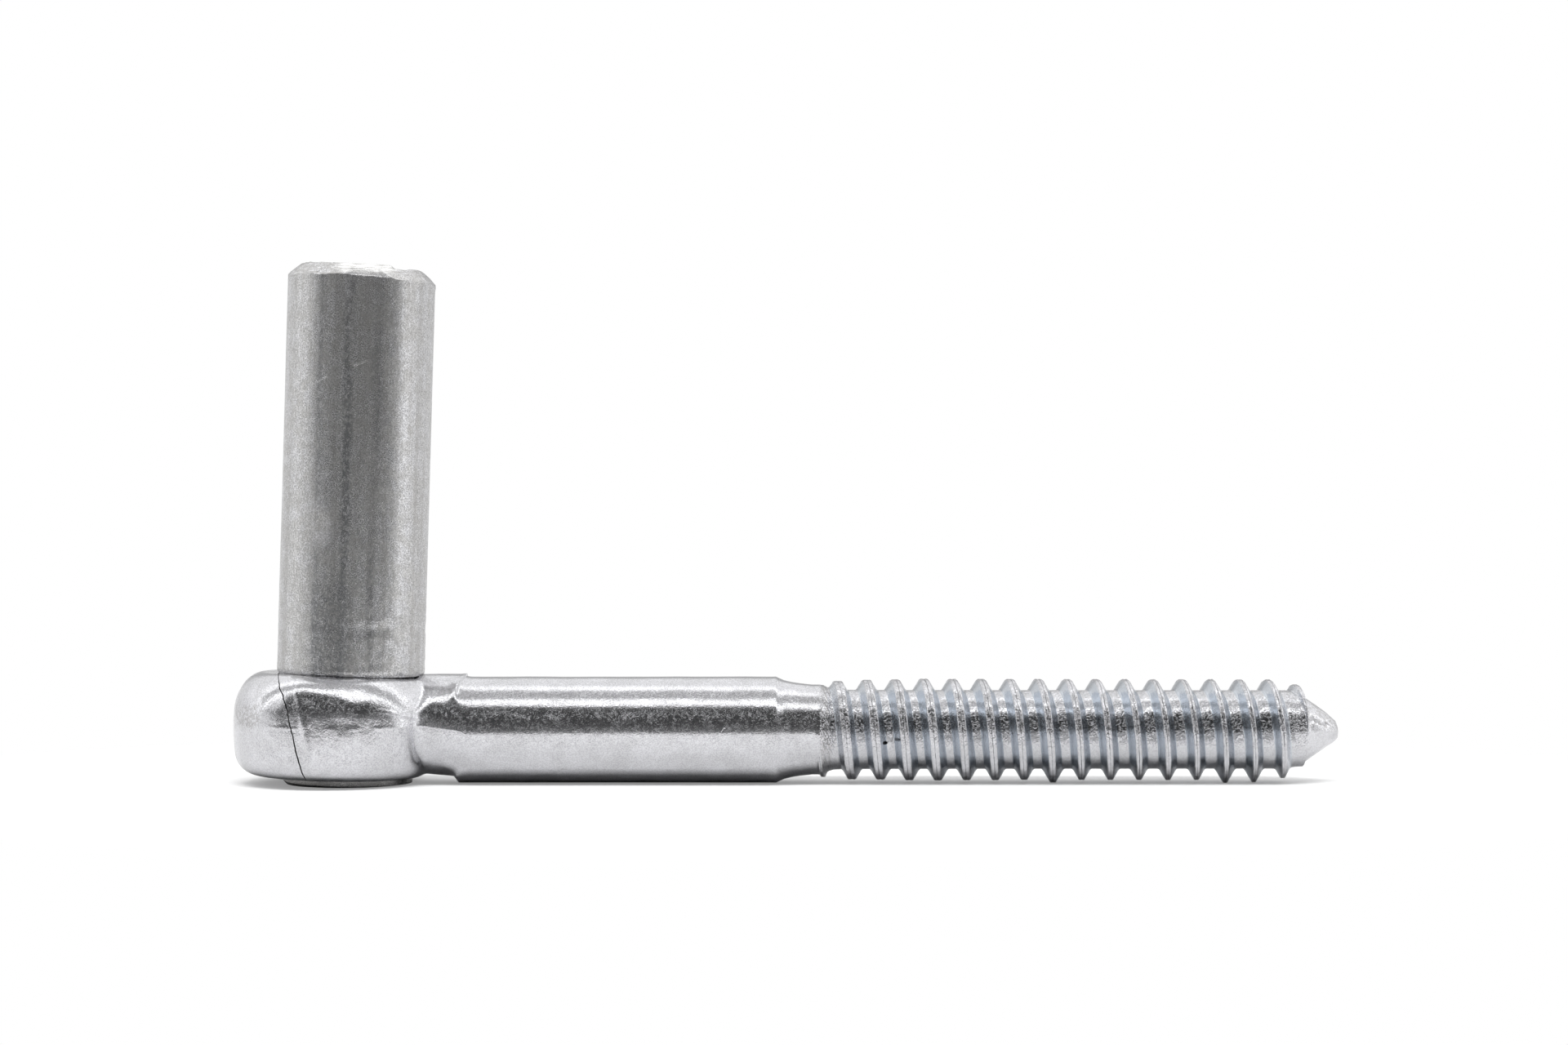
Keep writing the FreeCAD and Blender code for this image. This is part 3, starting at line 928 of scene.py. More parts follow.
@dataclass
class HingePin:
    """The drawn bar: a round pin with a sheared, bevelled top, its tenon and its foot."""

    radius: float
    lean: float
    foot_level: float
    reach: float = 44.3
    bevel_width: float = 1.5
    bevel_start: float = 43.05
    tenon_radius: float = 7.0
    seat_round: float = 0.22
    foot_start: float = -11.0
    foot_end: float = -12.25
    foot_round: float = 0.45
    stretch_from: float = 40.0
    steps: int = 256
    crisp: float = 40.0
    top_level: Knots = (
        (-6.5, 44.72), (-4.0, 44.58), (-1.0, 44.45), (3.75, 44.42), (4.1, 44.06), (5.4, 44.04),
        (5.9, 44.26), (6.6, 44.3),
    )
    edge_level: Knots = (
        (-8.0, 43.4), (-5.2, 43.22), (-1.2, 43.14), (3.2, 42.98), (5.0, 42.85), (8.0, 42.9),
    )

    def outline(self) -> bmesh.types.BMesh:
        """Turns the bar's outline round its axis.

        Returns:
            The mesh in millimetres.
        """
        bm = bmesh.new()
        rim = self.radius - self.bevel_width
        corners = (
            (0.0, 0.0, self.reach),
            (rim, 0.0, self.reach),
            (self.radius, 0.0, self.bevel_start),
            (self.radius, 0.0, self.stretch_from),
            (self.radius, 0.0, self.seat_round),
            (self.radius - self.seat_round, 0.0, -0.04),
            (self.tenon_radius, 0.0, -0.04),
            (self.tenon_radius, 0.0, self.foot_start),
            (self.tenon_radius, 0.0, self.foot_end + self.foot_round),
            (self.tenon_radius - self.foot_round, 0.0, self.foot_end),
            (0.0, 0.0, self.foot_end),
        )
        edges = draw_profile(bm, corners, (24, 11, 15, 104, 3, 2, 8, 4, 3, 12))
        bmesh.ops.spin(
            bm, geom=list(bm.verts) + edges, cent=(0, 0, 0), axis=Z_AXIS, angle=math.tau,
            steps=self.steps, use_merge=True, use_duplicate=False,
        )
        bmesh.ops.remove_doubles(bm, verts=bm.verts, dist=0.0005)
        return bm

    def shear_top(self, rows: np.ndarray) -> np.ndarray:
        """Gives the top its sheared steps and its uneven bevel.

        Args:
            rows: The places of the bar's vertices.

        Returns:
            The new places.
        """
        x, y, z = rows.T.copy()
        flat = np.column_stack((x, y, np.zeros_like(x)))
        spread = np.hypot(x, y)
        jag = 0.1 * ripple(flat, 0.55, 3.0) + 0.12 * ripple(flat, 2.1, 8.0)
        edge = follow(self.edge_level, x) + jag
        wander = 0.5 * ripple(flat, 3.0, 21.0)
        top = follow(self.top_level, x + wander) + 0.05 * ripple(flat, 0.8, 5.0)
        top += 0.05 * ripple(flat * np.array((1.0, 0.15, 1.0)), 0.5, 31.0)
        rim = self.radius - self.bevel_width
        share = np.clip((spread - rim) / self.bevel_width, 0.0, 1.0)
        on_top = z > self.bevel_start - 0.001
        bevel = on_top & (share > 0.0)
        bulge = 0.1 * np.sin(np.pi * share) + 0.05 * ripple(rows, 0.6, 13.0) * np.sin(np.pi * share)
        new_z = np.where(on_top, top, z)
        new_z = np.where(bevel, top * (1 - share) + edge * share + bulge, new_z)
        foot = self.stretch_from
        upper = (z > foot) & ~on_top
        stretched = foot + (z - foot) * (edge - foot) / (self.bevel_start - foot)
        new_z = np.where(upper, stretched, new_z)
        return np.column_stack((x, y, new_z))

    def wear_side(self, rows: np.ndarray) -> np.ndarray:
        """Gives the side its ring mark, wrinkles, lip and shallow dents.

        Args:
            rows: The places of the bar's vertices.

        Returns:
            The new places.
        """
        x, y, z = rows.T
        spread = np.hypot(x, y)
        side = (spread > self.radius - 0.01) & (z > self.seat_round - 0.01)
        ring = -0.05 * ease(4.25, 4.45, z) * (1 - ease(5.45, 5.7, z)) * ease(-4.0, 3.0, x)
        ring += 0.05 * bump_line(z - 4.6 + 0.04 * x, 0.16) * ease(-5.0, -2.5, x)
        wrinkle = 0.03 * ripple(rows, 0.8, 2.0) * (1 - ease(6.0, 13.0, z))
        swell = 0.02 * ripple(rows * np.array((1.0, 1.0, 0.25)), 2.4, 6.0)
        lip = 0.07 * bump_line(z - 42.6, 0.3) * ease(5.5, 7.5, x)
        foot_lip = 0.03 * bump_line(z - 0.55, 0.25)
        out = np.where(side, ring + wrinkle + swell + lip + foot_lip, 0.0)
        grow = 1.0 + out / np.maximum(spread, 1.0)
        return np.column_stack((x * grow, y * grow, z))

    def build(self, finish: bpy.types.Material) -> bpy.types.Object:
        """Builds the bar.

        Args:
            finish: The bar's material.

        Returns:
            The finished piece.
        """
        bm = self.outline()
        verts = list(bm.verts)
        rows = self.wear_side(self.shear_top(places_of(verts)))
        place(verts, rows)
        bmesh.ops.rotate(bm, cent=(0, 0, 0), matrix=Matrix.Rotation(self.lean, 3, "Y"), verts=verts)
        for vert in verts:
            vert.co.z = max(vert.co.z, self.foot_level)
        return finish_piece(bm, "pin_bar", [finish], self.crisp)


# The eye screw


@dataclass
class Forging:
    """The eye, its neck, the plain shank and the taper down to the thread's collar."""

    lean: float
    shank_radius: float
    shank_level: float
    eye_radius: float = 11.2
    eye_x: float = -1.34
    eye_top: float = -0.01
    eye_bottom: float = -11.15
    top_edge: tuple[float, float] = (2.5, 4.2)
    bottom_edge: tuple[float, float] = (1.9, 2.2)
    barrel: float = 52.0
    barrel_middle: float = -5.35
    end: float = 50.3
    steps: int = 200
    crowding: float = 0.25
    core_radius: float = 4.0
    fan: float = 0.75
    fan_radius: float = 5.35
    middle: float = -5.45
    search_reach: float = 18.0
    halvings: int = 36
    seat_radius: float = 8.6
    step_line: Knots = (
        (-12.5, 11.6), (-4.0, 12.1), (-3.0, 11.95), (-2.3, 11.82), (-1.7, 11.88), (-1.0, 12.15),
        (-0.5, 12.5), (0.0, 12.95), (0.3, 13.2),
    )
    lap_line: Knots = (
        (-10.85, -2.25), (-6.97, -3.04), (-4.35, -3.5), (-2.22, -3.87), (-0.85, -4.51), (0.17, -5.39),
    )
    neck_level: Knots = ((0.0, -5.5), (6.5, -5.48), (7.6, -5.51), (9.5, -5.6), (11.6, -5.68))
    neck_radius: Knots = ((0.0, 4.6), (5.0, 5.1), (6.5, 5.34), (7.6, 5.42), (9.5, 5.52), (11.6, 5.6))
    taper: Knots = (
        (46.55, 5.8), (46.7, 5.78), (47.5, 5.42), (48.4, 5.2), (49.3, 5.06), (50.3, 4.96), (51.1, 4.93),
    )

    def blank(self) -> bmesh.types.BMesh:
        """Spins a rod with a round end, whose vertices are then moved out to the forging.

        Returns:
            The mesh in millimetres.
        """
        bm = bmesh.new()
        pole = bm.verts.new((self.eye_x - self.core_radius, 0.0, self.middle))
        turns = ((58.0, 40), (32.0, 46))
        arc = [pole]
        for angle, count in turns:
            spun = bmesh.ops.spin(
                bm, geom=[arc[-1]], cent=(self.eye_x, 0.0, self.middle), axis=(0, 1, 0),
                angle=math.radians(angle), steps=count, use_merge=False, use_duplicate=False,
            )
            arc.append(spun["geom_last"][0])
        height = arc[-1].co.z
        ends = [arc[-1]] + [bm.verts.new((reach, 0.0, height)) for reach in (15.0, 46.2, self.end)]
        runs = [bm.edges.new(pair) for pair in zip(ends, ends[1:])]
        for edge, cuts in zip(runs, (92, 41, 24)):
            bmesh.ops.subdivide_edges(bm, edges=[edge], cuts=cuts)
        edges = list(bm.edges)
        bmesh.ops.spin(
            bm, geom=list(bm.verts) + edges, cent=(0, 0, self.middle), axis=X_AXIS,
            angle=math.tau, steps=self.steps, use_merge=True, use_duplicate=False,
        )
        bmesh.ops.remove_doubles(bm, verts=bm.verts, dist=0.0005)
        return bm

    def eye_gap(self, rows: np.ndarray) -> np.ndarray:
        """Measures how far each point lies outside the eye.

        Args:
            rows: Places as rows of x, y and z, in millimetres.

        Returns:
            One distance for each point, below 0 inside.
        """
        c, s = math.cos(self.lean), math.sin(self.lean)
        x = rows[:, 0] * c - rows[:, 2] * s
        z = rows[:, 0] * s + rows[:, 2] * c
        spread = np.hypot(x - self.eye_x, rows[:, 1])
        wall = self.eye_radius - (z - self.barrel_middle) ** 2 / self.barrel
        gap = np.maximum(np.maximum(spread - wall, z - self.eye_top), self.eye_bottom - z)
        edges = ((self.top_edge, z - self.eye_top), (self.bottom_edge, self.eye_bottom - z))
        for (wide, tall), rise in edges:
            a, b = spread - wall + wide, rise + tall
            turn = np.sqrt((a / wide) ** 2 + (b / tall) ** 2) + 1e-9
            slope = np.sqrt(a**2 / wide**4 + b**2 / tall**4) + 1e-9
            gap = np.where((a > 0) & (b > 0), (turn - 1.0) * turn / slope, gap)
        return gap

    def rod_gap(self, rows: np.ndarray) -> np.ndarray:
        """Measures how far each point lies outside the neck, the shank and the taper.

        Args:
            rows: Places as rows of x, y and z, in millimetres.

        Returns:
            One distance for each point, below 0 inside.
        """
        x, y, z = rows.T
        blur = 0.16 + 2.0 * ease(-11.1, -9.8, z) * (1 - ease(-2.9, -1.5, z))
        past = ease(-1.0, 1.0, (x - follow(self.step_line, z)) / blur)
        level = follow(self.neck_level, x) * (1 - past) + self.shank_level * past
        radius = follow(self.neck_radius, x) * (1 - past) + follow(self.taper, x) * past
        return np.maximum(np.hypot(y, z - level) - radius, -x)

    def gap(self, rows: np.ndarray) -> np.ndarray:
        """Measures how far each point lies outside the forging, with its soft inner corner.

        Args:
            rows: Places as rows of x, y and z, in millimetres.

        Returns:
            One distance for each point, below 0 inside.
        """
        eye, rod = self.eye_gap(rows), self.rod_gap(rows)
        z = rows[:, 2]
        soft = 0.22 + 1.0 * ease(-10.8, -8.0, z) * (1 - ease(-4.5, -0.4, z))
        share = np.clip(0.5 + 0.5 * (rod - eye) / soft, 0.0, 1.0)
        return rod * (1 - share) + eye * share - soft * share * (1 - share)

    def rays(self, rows: np.ndarray) -> tuple[np.ndarray, np.ndarray]:
        """Gives each vertex the line that it moves along.

        Args:
            rows: The places of the rod's vertices.

        Returns:
            Where each line starts, inside the forging, and its direction.
        """
        x, y, z = rows[:, 0], rows[:, 1], rows[:, 2] - self.middle
        turn = np.arctan2(z, y)
        turn -= self.crowding * np.sin(2 * turn)
        outward = np.clip((x - self.eye_x) / self.core_radius, -1.0, 0.0)
        across = np.sqrt(np.maximum(1 - outward**2, 0.0))
        across = np.where(np.hypot(y, z) < 1e-4, 0.0, across)
        direction = np.column_stack((outward, across * np.cos(turn), across * np.sin(turn)))
        start = np.zeros_like(rows)
        slope = self.fan * ease(0.0, 8.0, x) * (1 - ease(8.5, 17.0, x))
        direction[:, 0] += slope
        direction /= np.linalg.norm(direction, axis=1)[:, None]
        start[:, 0] = np.maximum(x, self.eye_x) - self.fan_radius * slope
        start[:, 2] = self.middle + (self.shank_level - self.middle) * ease(2.0, 14.0, x)
        return start, direction

    def marks(self, rows: np.ndarray) -> np.ndarray:
        """Gives the height of the flash line, the burr, the laps and the hammered swell.

        Args:
            rows: Places as rows of x, y and z, in millimetres.

        Returns:
            One height for each point, in millimetres.
        """
        x, y, z = rows.T
        front = ease(2.0, -1.0, y)
        beyond = x - follow(self.lap_line, z)
        lap = 0.085 * bump_line(beyond, 0.36)
        lap *= front * ease(-11.4, -9.8, z)
        step = x - follow(self.step_line, z)
        burr = 0.33 * bump_line(step + 0.15, 0.42) * ease(-3.6, -1.7, z) * ease(3.2, 0.5, y)
        burr *= 1 - 0.8 * ease(-1.4, -0.1, z)
        sweep = follow(((3.6, -3.3), (5.7, -3.8), (7.1, -4.25), (8.2, -4.6), (9.5, -4.9)), x)
        flash = 0.05 * bump_line(z - sweep, 0.13) * ease(3.4, 4.2, x) * ease(8.6, 7.6, x) * front
        low = follow(((-14.0, -5.2), (5.0, -5.4), (8.2, -5.35), (12.5, -5.9)), x)
        broken = np.clip(0.4 + 1.2 * ripple(rows, 1.8, 17.0), 0.0, 1.0)
        flash += 0.035 * bump_line(z - low, 0.12) * ease(13.0, 11.8, x) * broken
        swell = 0.09 * ripple(rows, 4.2, 4.0) + 0.03 * ripple(rows, 1.6, 9.0)
        swell += 0.22 * bump_line(x + 4.1, 2.0) * bump_line(z + 0.9, 1.3) * front
        swell -= 0.16 * bump_line(x - 2.3, 2.1) * bump_line(z + 1.5, 1.2) * front
        fade = (1 - 0.72 * ease(8.5, 12.0, x)) * (0.35 + 0.65 * ease(-6.4, -4.6, z))
        line = 0.03 * bump_line(x - 46.6, 0.1)
        return lap + burr + flash + swell * fade + line

    def build(self) -> bmesh.types.BMesh:
        """Builds the forging, closed at the eye and open at the thread's collar.

        Returns:
            The mesh in millimetres.
        """
        bm = self.blank()
        verts = list(bm.verts)
        start, direction = self.rays(places_of(verts))
        near, far = np.zeros(len(verts)), np.full(len(verts), self.search_reach)
        for _ in range(self.halvings):
            half = (near + far) / 2
            inside = self.gap(start + direction * half[:, None]) < 0
            near, far = np.where(inside, half, near), np.where(inside, far, half)
        rows = start + direction * near[:, None]
        level = rows[:, 2] + rows[:, 0] * math.sin(self.lean)
        seat = np.hypot(rows[:, 0], rows[:, 1]) < self.seat_radius
        height = self.marks(rows)
        height = np.where(seat & (level > -0.9), np.minimum(height, 0.0) * 0.2, height)
        height *= 1 - ease(self.end - 1.2, self.end - 0.2, rows[:, 0])
        place(verts, rows + direction * height[:, None])
        return bm


@dataclass
class Thread:
    """The rolled right-hand thread, from the collar to the blunt cone point."""

    level: float
    pitch: float = 3.146
    first_crest: float = 55.005
    start: float = 50.6
    end: float = 104.3
    turns: int = 19
    steps: int = 92
    columns: int = 20
    crest_near: float = 0.86
    crest_far: float = 0.46
    flank: float = math.tan(math.radians(30.0))
    seam: float = 0.075
    core: Knots = (
        (50.0, 4.93), (51.5, 4.93), (51.8, 4.9), (52.7, 4.42), (54.0, 4.36), (60.0, 4.33),
        (102.6, 4.3), (103.4, 4.12), (104.4, 4.05),
    )
    envelope: Knots = (
        (50.3, 4.85), (51.0, 4.93), (51.82, 5.2), (53.44, 5.33), (54.96, 5.4), (58.19, 5.49),
        (61.4, 5.56), (100.6, 5.49), (102.1, 5.32), (103.5, 5.12), (104.3, 4.35),
    )
    point: Knots = (
        (104.3, 3.74), (104.42, 3.66), (105.6, 2.86), (106.9, 1.94), (107.75, 1.3), (108.08, 0.98),
        (108.22, 0.55),
    )
    fins: tuple[tuple[float, float, float], ...] = (
        (76.92, 0.32, 0.0), (95.93, 0.36, 0.0), (99.06, 0.3, 0.0), (55.05, 0.05, 0.0),
    )

    def row_shape(
        self, half: np.ndarray, rise: np.ndarray, column: np.ndarray
    ) -> tuple[np.ndarray, np.ndarray]:
        """Places the points of one pitch along the screw.

        Args:
            half: Half the crest's width at each point.
            rise: The ridge's height there.
            column: The point's number in its row, half the columns on the crest.

        Returns:
            The place along the screw from the crest, and the share of the ridge's height.
        """
        crest = self.columns // 2
        side = np.where(column > crest, 1.0, -1.0)
        order = np.abs(column - crest)
        width = np.maximum(rise * self.flank, 0.25)
        foot = half + width
        rest = np.maximum(self.pitch / 2 - foot, 0.1)
        outs = (
            np.zeros_like(half), 0.2 * half, 0.76 * half, half + 0.03, half + 0.2 * width,
            half + 0.5 * width, half + 0.8 * width, foot + 0.02, foot + 0.22 * rest,
            foot + 0.6 * rest, np.full_like(half, self.pitch / 2),
        )
        shares = (1.0, 1.0, 0.995, 0.935, 0.77, 0.5, 0.2, 0.04, 0.0, 0.0, 0.0)
        out, share = np.zeros_like(half), np.zeros_like(half)
        for number, (where, height) in enumerate(zip(outs, shares)):
            out = np.where(order == number, where, out)
            share = np.where(order == number, height, share)
        return side * out, share

    def ridge(self) -> bmesh.types.BMesh:
        """Winds a straight row of points round the screw and shapes it into the thread.

        Returns:
            The thread, open at both ends, in millimetres.
        """
        bm = bmesh.new()
        begin = self.first_crest - self.pitch / 2 - 2 * self.pitch
        edges = draw_profile(
            bm, ((begin, 0.0, -5.0), (begin + self.pitch, 0.0, -5.0)), (self.columns - 1,)
        )
        bmesh.ops.spin(
            bm, geom=list(bm.verts) + edges, cent=(0, 0, 0), axis=X_AXIS,
            dvec=(self.pitch / self.steps, 0, 0), angle=math.tau,
            steps=self.steps, use_merge=False, use_duplicate=False,
        )
        turn_parts = list(bm.verts) + list(bm.edges) + list(bm.faces)
        for number in range(1, self.turns):
            copied = bmesh.ops.duplicate(bm, geom=turn_parts)["geom"]
            moved = [part for part in copied if isinstance(part, bmesh.types.BMVert)]
            bmesh.ops.translate(bm, verts=moved, vec=(number * self.pitch, 0, 0))
        bmesh.ops.remove_doubles(bm, verts=bm.verts, dist=0.001)
        bm.verts.layers.float.new("flank")
        bm.verts.layers.float.new("seam")
        bm.verts.layers.float.new("valley")
        tint, line = bm.verts.layers.float["flank"], bm.verts.layers.float["seam"]
        floor = bm.verts.layers.float["valley"]
        verts = list(bm.verts)
        x, y, z = places_of(verts).T
        around = np.mod(np.arctan2(y, -z) / math.tau + 1e-6, 1.0) - 1e-6
        total = (x - begin) / self.pitch - around
        turn = np.floor(total + 1e-3)
        column = np.rint((total - turn) * self.columns)
        order = np.abs(column - self.columns // 2)
        crest_x = begin + self.pitch * (turn + around + 0.5)
        core = follow(self.core, crest_x)
        ring = np.column_stack((crest_x, y, z))
        top = follow(self.envelope, crest_x)
        top = top + 0.045 * ripple(ring, 1.9, 7.0) + 0.02 * ripple(ring, 0.5, 2.0)
        for place_x, height, angle in self.fins:
            away = np.abs(np.mod(around - angle + 0.5, 1.0) - 0.5)
            top = top + height * bump_line(crest_x - place_x, 0.4) * bump_line(away, 0.045)
        rise = np.maximum(top - core, 0.0)
        half = 0.5 * (self.crest_near + (self.crest_far - self.crest_near) * ease(54.0, 100.0, crest_x))
        half *= 0.35 + 0.65 * ease(0.2, 0.9, rise)
        offset, share = self.row_shape(half, rise, column)
        new_x = crest_x + offset
        core_here = follow(self.core, new_x)
        radius = core_here + share * np.maximum(top - core_here, 0.0)
        seam = self.seam * (0.5 + 0.5 * ripple(ring, 1.3, 12.0))
        seam = np.where((order == 0) & (rise > 0.1), seam, 0.0)
        nick = 0.06 * ripple(ring, 0.45, 15.0) * (np.abs(order - 2.5) < 1)
        radius = radius - seam + nick * np.minimum(rise, 1.0)
        bearing = math.tau * around
        new_y, new_z = radius * np.sin(bearing), self.level - radius * np.cos(bearing)
        place(verts, np.column_stack((new_x, new_y, new_z)))
        for vert, number, height in zip(verts, order, rise):
            tall = min(max(height - 0.3, 0.0), 1.0)
            vert[tint] = (0.85 if 3.5 < number < 7.5 else 0.0) * tall
            # Column 0 is the crest's real seam. Column 7, where the flank meets the root, gets painted
            # shade along the crease.
            vert[line] = {0: 1.0, 7: 0.55}.get(int(number), 0.0) * tall
            vert[floor] = tall if number > 7.5 else 0.0
        geometry = list(bm.verts) + list(bm.edges) + list(bm.faces)
        bmesh.ops.bisect_plane(
            bm, geom=geometry, plane_co=(self.start, 0, 0), plane_no=X_AXIS, clear_inner=True,
            dist=0.0001,
        )
        geometry = list(bm.verts) + list(bm.edges) + list(bm.faces)
        bmesh.ops.bisect_plane(
            bm, geom=geometry, plane_co=(self.end, 0, 0), plane_no=X_AXIS, clear_outer=True,
            dist=0.0001,
        )
        return bm

    def cone(self) -> bmesh.types.BMesh:
        """Turns the blunt point, open at its base.

        Returns:
            The mesh in millimetres.
        """
        bm = bmesh.new()
        corners = tuple((x, 0.0, radius) for x, radius in self.point) + ((108.24, 0.0, 0.0),)
        edges = draw_profile(bm, corners, (1, 8, 8, 5, 3, 2, 3))
        bmesh.ops.spin(
            bm, geom=list(bm.verts) + edges, cent=(0, 0, 0), axis=X_AXIS, angle=math.tau,
            steps=112, use_merge=True, use_duplicate=False,
        )
        bmesh.ops.remove_doubles(bm, verts=bm.verts, dist=0.0005)
        verts = list(bm.verts)
        rows = places_of(verts)
        x = rows[:, 0]
        spread = np.hypot(rows[:, 1], rows[:, 2])
        grow = 1 + (0.03 * ripple(rows, 0.9, 3.0)) * ease(104.4, 104.8, x) / np.maximum(spread, 0.6)
        slant = 0.11 * rows[:, 2] * ease(106.8, 108.0, x)
        place(verts, np.column_stack((x - slant, rows[:, 1] * grow, rows[:, 2] * grow + self.level)))
        return bm


@dataclass
class EyeScrew:
    """The eye screw: the forging and its thread, joined, bored and cracked."""

    forging: Forging
    thread: Thread
    bore_radius: float = 7.02
    bore_length: float = 30.0
    crack_cuts: int = 56
    crisp: float = 38.0
    crack: Knots = (
        (-11.4, -3.3), (-10.86, -3.41), (-5.61, -4.7), (-3.11, -5.26), (0.37, -5.9), (0.9, -6.05),
    )

    def bore(self) -> bmesh.types.BMesh:
        """Makes the solid that the tenon's bore is cut with.

        Returns:
            The mesh in millimetres.
        """
        bm = bmesh.new()
        bmesh.ops.create_cone(
            bm, cap_ends=True, cap_tris=False, segments=128, radius1=self.bore_radius,
            radius2=self.bore_radius, depth=self.bore_length,
        )
        bmesh.ops.translate(bm, verts=bm.verts, vec=(0, 0, -5.0))
        bmesh.ops.rotate(
            bm, cent=(0, 0, 0), matrix=Matrix.Rotation(self.forging.lean, 3, "Y"), verts=bm.verts
        )
        return bm

    def blade(self) -> bmesh.types.BMesh:
        """Makes the jagged wedge that the crack is cut with.

        Returns:
            The mesh in millimetres.
        """
        bm = bmesh.new()
        bmesh.ops.create_cube(bm, size=1.0)
        long_edges = [
            edge for edge in bm.edges if abs(edge.verts[0].co.z - edge.verts[1].co.z) > 0.5
        ]
        bmesh.ops.subdivide_edges(bm, edges=long_edges, cuts=self.crack_cuts, use_grid_fill=True)
        for vert in bm.verts:
            height = 0.75 - 12.1 * (0.5 - vert.co.z)
            line = float(follow(self.crack, np.array([height]))[0])
            line += 0.10 * noise.noise(Vector((height / 0.5, 3.1, 0.0)))
            line += 0.16 * noise.noise(Vector((height / 1.7, 9.1, 0.0)))
            wide = 0.065 + 0.075 * min(max(-height / 10.0, 0.0), 1.0)
            wide += 0.03 * noise.noise(Vector((height / 0.4, 21.0, 0.0)))
            deep = vert.co.y > 0
            high = min(max((height + 3.5) / 2.5, 0.0), 1.0)
            reach = -8.9 + 6.2 * high if deep else -12.5
            line -= 0.2 * high * max(reach + 10.6, 0.0)
            vert.co = (line + vert.co.x * (0.05 if deep else 2 * wide), reach, height)
        return bm

    def build(self, finish: bpy.types.Material, scale: bpy.types.Material) -> bpy.types.Object:
        """Joins, bores and cracks the screw.

        Args:
            finish: The screw's material.
            scale: The material inside the crack.

        Returns:
            The finished piece.
        """
        bm = self.forging.build()
        add_from(bm, self.thread.ridge())
        add_from(bm, self.thread.cone())
        neck = open_loop(bm, self.forging.end) + open_loop(bm, self.thread.start)
        bmesh.ops.bridge_loops(bm, edges=neck)
        tip = open_loop(bm, self.thread.end)
        bmesh.ops.bridge_loops(bm, edges=tip)
        LOG.info("eye screw before cutting: %s", soundness(bm))
        bm = carve(bm, [(self.bore(), finish), (self.blade(), scale)], finish)
        LOG.info("eye screw after cutting: %s", soundness(bm))
        return finish_piece(bm, "screw_body", [finish, scale], self.crisp)


# The studio


@dataclass(frozen=True)
class Band:
    """A band of the room in front of the screw, by its angle over the screw's axis in degrees."""

    strength: float
    starts: float
    full_from: float
    ends: float
    full_to: float


